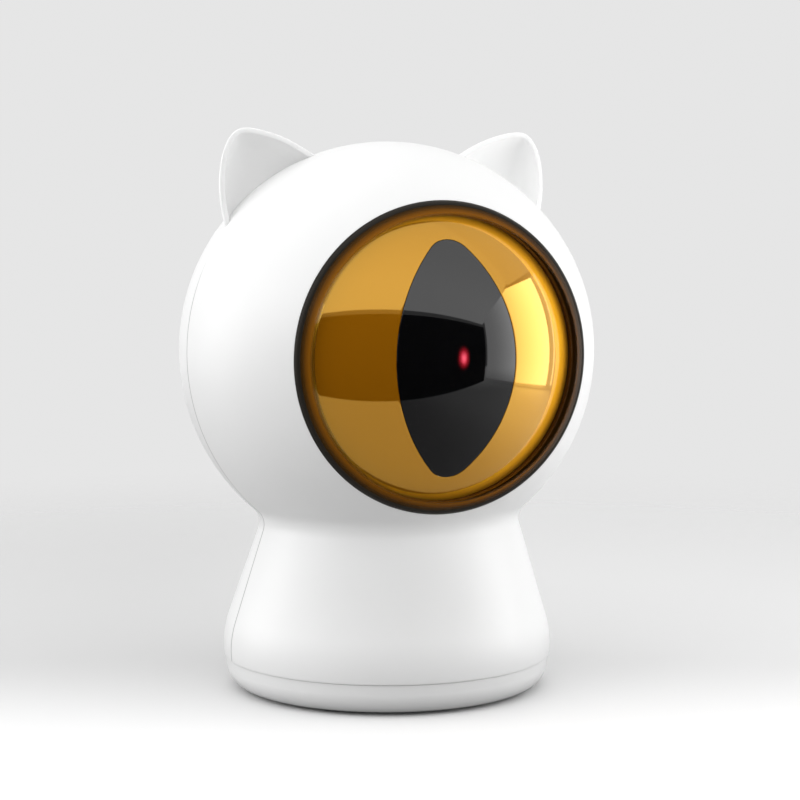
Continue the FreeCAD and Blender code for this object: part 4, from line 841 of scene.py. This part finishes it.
def pupil_line(grow):
    """The slit's outline, grown or shrunk: a function that gives its radius in any direction."""
    width, height, tip = PUPIL_HALF_WIDTH + grow, PUPIL_HALF_HEIGHT + grow, PUPIL_TIP_R + grow
    side_r = ((height - tip) ** 2 + width ** 2 - tip ** 2) / (2 * (width - tip))
    centre = side_r - width
    join = math.atan2(height - tip, centre)
    quarter = [(side_r * math.cos(a) - centre, side_r * math.sin(a)) for a in np.linspace(0, join, 200)]
    quarter += [(tip * math.cos(a), height - tip + tip * math.sin(a))
                for a in np.linspace(join, math.pi / 2, 60)]
    angles = np.array([math.atan2(z, x) for x, z in quarter])
    radii = np.array([math.hypot(x, z) for x, z in quarter])
    return lambda turn: float(np.interp(math.asin(min(1.0, abs(math.sin(turn)))), angles, radii))


def on_iris(radius, turn, sink=0.0):
    """A point on the iris's dome, or a little behind it."""
    return (radius * math.cos(turn), IRIS_CENTRE_Y - math.sqrt(IRIS_R ** 2 - radius ** 2) + sink,
            HEAD_Z + radius * math.sin(turn))


def eye_turns():
    return [2 * math.pi * k / EYE_SEGMENTS for k in range(EYE_SEGMENTS)]


def iris():
    """The amber dome with its slit, the slope round it and the flange that holds it."""
    inside = pupil_line(0.03)
    turns = eye_turns()
    rows = [[on_iris(inside(a), a, 1.2) for a in turns]]
    for out, sink in ((0.0, 0.12), (0.02, 0.06), (0.06, 0.02), (0.12, 0.0)):
        rows.append([on_iris(inside(a) + out, a, sink) for a in turns])
    for t in np.linspace(0, 1, 48)[1:]:
        rows.append([on_iris(inside(a) + 0.12 + (IRIS_EDGE_R - inside(a) - 0.12) * t, a) for a in turns])
    edge_y = IRIS_CENTRE_Y - math.sqrt(IRIS_R ** 2 - IRIS_EDGE_R ** 2)
    band = rounded([(IRIS_EDGE_R, edge_y), (IRIS_SLOPE_R, edge_y + IRIS_SLOPE_DEPTH, 0.6),
                    (IRIS_SLOPE_R, IRIS_FLANGE_Y, 0.3), (STACK_R, IRIS_FLANGE_Y, 0.2),
                    (STACK_R, IRIS_BACK_Y)], 6)
    for r, y in band[1:]:
        rows.append([(r * math.cos(a), y, HEAD_Z + r * math.sin(a)) for a in turns])
    points = [p for row in rows for p in row]
    made = piece("iris_dome", points, strip_faces(len(rows), EYE_SEGMENTS, True), AMBER, "housing",
                 ("iris_shell",), 25.0)
    face_outwards(made, (0, 0, HEAD_Z))


def pupil():
    """The smoked window that fills the slit."""
    inside = pupil_line(-0.02)
    turns = eye_turns()
    rows = [[on_iris(inside(a) * t, a) for a in turns] for t in np.linspace(0, 0.995, 40)]
    for out, sink in ((-0.06, 0.02), (-0.02, 0.06), (0.0, 0.12), (0.0, 1.2)):
        rows.append([on_iris(inside(a) + out, a, sink) for a in turns])
    points = [p for row in rows for p in row]
    made = piece("pupil_glass", points, strip_faces(len(rows), EYE_SEGMENTS, True), SMOKED, "housing",
                 ("pupil_window",), 25.0)
    tidy(made, 25.0)
    face_outwards(made, (0, 0, HEAD_Z))


def eye_ring():
    """The black ring round the glass, left out of what the iris mirrors."""
    crown = HEAD_R + RING_CROWN
    middle = (RING_OUTER_R + RING_INNER_R) / 2
    profile = rounded([(RING_INNER_R, RING_BACK_Y),
                       (RING_INNER_R, -math.sqrt(HEAD_R ** 2 - RING_INNER_R ** 2), 0.12),
                       (middle, -math.sqrt(crown ** 2 - middle ** 2), 0.8),
                       (RING_OUTER_R, -math.sqrt(HEAD_R ** 2 - RING_OUTER_R ** 2), 0.15),
                       (RING_OUTER_R, RING_FLANGE_Y), (STACK_R, RING_FLANGE_Y), (STACK_R, RING_BACK_Y)])
    made = turned_about_eye("eye_ring", profile, RING, "housing", ("lens_ring",), 320)
    made.visible_glossy = False


def eye_glass():
    """The clear dome over the eye; the glass casts no shadow and the iris doesn't mirror it."""
    profile = dome(HEAD_R, 0.0, LENS_EDGE_R)
    profile += [(LENS_EDGE_R, LENS_FLANGE_Y), (STACK_R, LENS_FLANGE_Y), (STACK_R, LENS_BACK_Y),
                (LENS_INNER_R, LENS_BACK_Y)]
    profile += dome(HEAD_R - LENS_WALL, LENS_INNER_R, 0.0)
    made = turned_about_eye("eye_glass", profile, CLEAR, "housing", ("eye_lens",), 256)
    made.visible_shadow = made.visible_diffuse = made.visible_glossy = False


# ---- base

def base_cup():
    """The base's cover: flat underneath, a round rim, and a lip that goes up inside the shells."""
    lip = float(flank_radius(BASE_SEAM_Z)) - WALL - LIP_PLAY
    bulge = [(CUP_FLAT_R + CUP_RIM_RUN * math.sin(a), CUP_RIM_Z - CUP_RIM_RISE * math.cos(a))
             for a in np.linspace(0, math.pi / 2, 24)]
    profile = [(0.0, CUP_BOTTOM_Z)] + [(r, CUP_BOTTOM_Z) for r in np.linspace(6, 28.8, 12)] + bulge
    profile += rounded([bulge[-1], (CUP_EDGE_R, BASE_SEAM_Z, 0.12), (lip, BASE_SEAM_Z), (lip, LIP_TOP_Z, 0.2),
                        (lip - LIP_WIDTH, LIP_TOP_Z), (lip - LIP_WIDTH, CUP_RIM_Z),
                        (CUP_FLOOR_R, CUP_FLOOR_Z)])[1:]
    profile += [(0.0, CUP_FLOOR_Z)]
    return turned_upright("base_cup", profile, WHITE, "housing", ("base_cover",), 320)


def feet():
    profile = rounded([(0.0, 0.0), (FOOT_R, 0.0, 0.25), (FOOT_R, FOOT_HEIGHT, 0.1), (0.0, FOOT_HEIGHT)])
    for k, (x, y) in enumerate(((FOOT_OUT, 0.0), (-FOOT_OUT, 0.0), (0.0, FOOT_OUT), (0.0, -FOOT_OUT))):
        turned_upright(f"rubber_foot_{k + 1}", profile, RUBBER, "housing", ("rubber_feet",) if k == 0 else (),
                       96, at=(x, y))


def beam():
    """The lit mouth of the barrel, a shallow bead of light just behind the smoked glass."""
    rings, segments = 12, 64
    x, y, z = BEAM_CENTRE
    points = []
    for row in range(rings + 1):
        for k in range(segments):
            a = 2 * math.pi * k / segments
            points.append((x + BEAM_HALF_WIDTH * row / rings * math.cos(a),
                           y + BEAM_DEPTH * (row / rings) ** 2,
                           z + BEAM_HALF_HEIGHT * row / rings * math.sin(a)))
    made = piece("laser_beam", points, strip_faces(rings + 1, segments, True), beam_glow(), "laser_head")
    made.visible_diffuse = made.visible_glossy = False
    tidy(made)


front = half_shell(-1, "front_moulding", math.asin(EYE_HOLE_R / HEAD_R))
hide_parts("front_shell")
rear = half_shell(1, "rear_moulding", REAR_POLE)
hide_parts("rear_shell")
rear_holes(rear)
ear("left_ear", -1)
ear("right_ear", 1)
iris()
pupil()
eye_ring()
eye_glass()
base_holes(base_cup())
feet()
beam()


# ---- finishes of the pieces that stay as they are

SLOTS = {entry["node"]: entry["material_slot"] for entry in frame["record"]["subparts"]}
for node, made in frame["nodes"].items():
    finish = FINISHES[SLOTS[node]]
    made.data.materials.clear()
    made.data.materials.append(finish)


# ---- floor, lights, camera

def floor():
    """White paper under the toy with painted shade behind it and to the camera's left, and a duller, darker
    copy, painted lighter towards the window, that lights the toy from below and shows in its eye.
    """
    paper = Finish("floor_paper")
    where = paper.place()
    x, y, z = paper.parts(where)
    behind = x * float(AWAY[0]) + y * float(AWAY[1])
    # painted shade: the paper greys behind the toy and towards the camera's left, where the studio light
    # falls off
    back = paper.span(behind, -60.0, 25.0)
    left = paper.span(x * float(SIDEWAYS[0]) + y * float(SIDEWAYS[1]), 20.0, -70.0)
    pale = paper.mix(left, (0.68, 0.68, 0.68), (0.6, 0.6, 0.6))
    paper.wear("Base Color", paper.mix(back, paper.mix(left, (0.9, 0.9, 0.9), (0.85, 0.85, 0.85)), pale))
    paper.wear("Roughness", 0.7 + paper.noise(where, 0.02) * 0.1)
    paper.wear("Alpha", paper.span((x * x + y * y) ** 0.5, 380.0, 120.0))
    seen = sheet("floor_paper", 0.0, paper)
    for kind in ("diffuse", "glossy", "transmission", "shadow"):
        setattr(seen, "visible_" + kind, False)
    # a darker copy of the floor that only bounce light and reflections see, painted with the floor's shade
    dull = Finish("floor_dull", Roughness=0.9)
    where = dull.place()
    x, y, z = dull.parts(where)
    window_side = x * float(SIDEWAYS[0]) + y * float(SIDEWAYS[1]) + dull.noise(where, 0.02) * 10.0
    # painted light: the dull floor turns lighter towards the window, on the camera's right
    dull.wear("Base Color", dull.mix(dull.span(window_side, 30.0, 150.0), (0.38, 0.38, 0.38), (0.8, 0.8, 0.8)))
    sheet("floor_dull", -0.1, dull).visible_camera = False


def sheet(name, height, finish):
    """A level metre of floor."""
    mesh = bpy.data.meshes.new(name)
    work = bmesh.new()
    bmesh.ops.create_grid(work, x_segments=40, y_segments=40, size=0.5)
    work.to_mesh(mesh)
    work.free()
    made = bpy.data.objects.new(name, mesh)
    made.location = (0.0, 0.0, height * MM)
    bpy.context.scene.collection.objects.link(made)
    mesh.materials.append(finish.material)
    return made


def softbox(name, at, aim, width, height, glow):
    """A lit rectangle at one point that faces another."""
    light = bpy.data.lights.new(name, "AREA")
    light.shape = "RECTANGLE"
    light.size, light.size_y = width, height
    light.energy = glow * width * height * WATTS_FOR_GLOW
    made = bpy.data.objects.new(name, light)
    made.location = at
    made.rotation_euler = Vector(aim - at).to_track_quat("-Z", "Y").to_euler()
    made.visible_camera = False
    bpy.context.scene.collection.objects.link(made)
    return made


def direction(azimuth, elevation):
    """Azimuth 0 is ahead of the toy and 90 to its left hand."""
    a, e = math.radians(azimuth), math.radians(elevation)
    return np.array((math.sin(a) * math.cos(e), -math.cos(a) * math.cos(e), math.sin(e)))


class Studio(Finish):
    """The backdrop all round: pale behind the toy, dimmer in front of it."""

    def __init__(self):
        self.material = bpy.data.worlds.new("studio")
        self.material.use_nodes = True
        self.nodes = self.material.node_tree.nodes
        self.links = self.material.node_tree.links
        self.shader = self.nodes["Background"]
        x, y, z = self.parts(self.node("ShaderNodeTexCoord", output="Generated"))
        behind = self.span(x * float(AWAY[0]) + y * float(AWAY[1]), -0.3, 0.6)
        self.wear("Color", self.mix(behind, (0.25, 0.25, 0.25), (0.79, 0.79, 0.79)))
        bpy.context.scene.world = self.material


def card(name, corners, finish):
    """A flat card that stands in the studio out of the camera's sight."""
    mesh = bpy.data.meshes.new(name)
    mesh.from_pydata([tuple(corner) for corner in corners], [], [tuple(range(len(corners)))])
    made = bpy.data.objects.new(name, mesh)
    bpy.context.scene.collection.objects.link(made)
    mesh.materials.append(finish.material)
    made.visible_camera = False
    return made


def dark_screen():
    """A black screen in front of the toy that only reflections see."""
    finish = Finish("dark_cloth", Roughness=1.0, Specular_IOR_Level=0.0)
    drift = finish.noise(finish.place(), 0.01)
    finish.wear("Base Color", finish.mix(drift, (0.001, 0.001, 0.001), (0.002, 0.002, 0.002)))
    near = 0.133
    middle = EYE - AWAY * near
    left, right = middle - SIDEWAYS * 0.35, middle + SIDEWAYS * near * math.tan(math.radians(61))
    up = UP * near * math.tan(math.radians(25))
    down = UP * (0.0005 - EYE[2])
    made = card("dark_screen", (left + down, right + down, right + up, left + up), finish)
    made.visible_diffuse = False
    made.visible_shadow = False
    made.visible_transmission = False


def glow(name, strength, low, high, along, start, end):
    """A lit cloth whose brightness drifts from low to high along a direction."""
    finish = Finish(name, Emission_Strength=strength, Base_Color=(0, 0, 0, 1))
    x, y, z = finish.parts(finish.place(1.0))
    reach = x * float(along[0]) + y * float(along[1]) + z * float(along[2])
    lit = finish.span(reach - float(EYE.dot(along)), start, end)
    finish.wear("Emission Color", finish.mix(lit, (low,) * 3, (high,) * 3))
    return finish


def beside(along, up, near):
    """A point on the wall at the toy's left hand, as shares of the wall's distance."""
    return EYE + near * (SIDEWAYS + AWAY * along + UP * up)


def window():
    """A bright window beside the toy, brightest at its far end, and a dimmer blind beyond it."""
    near = WINDOW_NEAR
    corners = [beside(along, up, near)
               for along, up in ((-0.53, -0.25), (-0.53, 0.35), (-0.09, 0.52), (0.36, 0.49), (0.36, -0.25))]
    card("window", corners, glow("window_glow", WINDOW_GLOW, 0.3, 1.0, AWAY, -0.5 * near, 0.3 * near))
    for name, first, last, strength in (("blind_near", 0.37, 0.44, 0.3), ("blind_edge", 0.44, 0.465, 0.7),
                                        ("blind_far", 0.465, 1.6, 0.3)):
        corners = [beside(first, -0.25, near), beside(first, 0.5, near), beside(last, 0.5, near),
                   beside(last, -0.25, near)]
        card(name, corners, glow(name + "_glow", WINDOW_GLOW * strength, 1.0, 1.0, AWAY, 0.0, 1.0))


def overhead():
    """A lit ceiling, brightest in front of the toy, and the wall and rear ceiling that carry it on."""
    low, high = math.radians(25), math.radians(84)
    front = EYE - AWAY * 1.05 + UP * 1.05 * math.tan(low)
    back = EYE - AWAY * 0.95 / math.tan(high) + UP * 0.95
    far = EYE + AWAY * 0.6 + UP * 0.95
    wide = SIDEWAYS * 1.8
    card("overhead_softbox", [front - wide, front + wide, back + wide, back - wide],
         glow("overhead_glow", OVERHEAD_GLOW, 1.0, 0.8, AWAY, -0.8, -0.1))
    near = 0.8
    lean = AWAY * -0.105
    side = [EYE + SIDEWAYS * near + UP * up + along for up, along in
            ((0.41, lean * 0.41), (0.95, lean * 0.95), (0.95, AWAY), (0.41, AWAY))]
    card("side_softbox", side, glow("side_glow", SIDE_GLOW, 1.0, 1.0, AWAY, 0.0, 1.0))
    card("rear_ceiling", [back - wide, back + SIDEWAYS * near, far + SIDEWAYS * near, far - wide],
         glow("ceiling_glow", SIDE_GLOW, 1.0, 1.0, AWAY, 0.0, 1.0))


EYE = np.array((0.0, -0.037, HEAD_Z * MM))    # just behind the middle of the iris
HEAD = np.array((0.0, 0.0, HEAD_Z * MM))
CAMERA_TURN = math.radians(21.693)            # from +Y towards +X
CAMERA_DIP = math.radians(4.883)              # below level
# two level directions: to the right as the camera sees it, and away from the camera
SIDEWAYS = np.array((math.cos(CAMERA_TURN), -math.sin(CAMERA_TURN), 0.0))
AWAY = np.array((math.sin(CAMERA_TURN), math.cos(CAMERA_TURN), 0.0))
UP = np.array((0.0, 0.0, 1.0))
WINDOW_NEAR = 0.25
WINDOW_GLOW = 3.7
OVERHEAD_GLOW = 1.15
SIDE_GLOW = 0.85
FILL_DISTANCE = 0.8
FOCAL_LENGTH = 92.278
CAMERA_AT = (-0.15321, -0.39254, 0.09488)
floor()
Studio()
dark_screen()
window()
overhead()
softbox("left_softbox", HEAD + 0.3 * direction(-118, 5.5), HEAD, 0.183, 0.178, 0.95)
softbox("left_wall", HEAD + 0.7 * direction(-95, 14), HEAD, 0.9, 0.45, 1.1)
for name, azimuth, elevation, width, height, strength in (
        ("left_high", -90, 36, 0.9, 0.35, 0.8), ("top_fill", 0, 80, 0.6, 0.6, 0.65),
        ("front_high", -20, 50, 0.8, 0.4, 0.6), ("back_left", -130, 50, 0.5, 0.4, 0.4),
        ("left_low", -80, -4, 0.9, 0.12, 0.5)):
    at = HEAD + FILL_DISTANCE * direction(azimuth, elevation)
    softbox(name, at, HEAD, width, height, strength).visible_glossy = False

camera = bpy.data.cameras.new("camera")
camera.lens = FOCAL_LENGTH
camera.sensor_width = 36.0
camera.clip_start = 0.01
viewpoint = bpy.data.objects.new("camera", camera)
bpy.context.scene.collection.objects.link(viewpoint)
viewpoint.location = CAMERA_AT
viewpoint.rotation_euler = (math.radians(90) - CAMERA_DIP, 0.0, -CAMERA_TURN)
bpy.context.scene.camera = viewpoint
bpy.context.scene.view_settings.view_transform = "Standard"
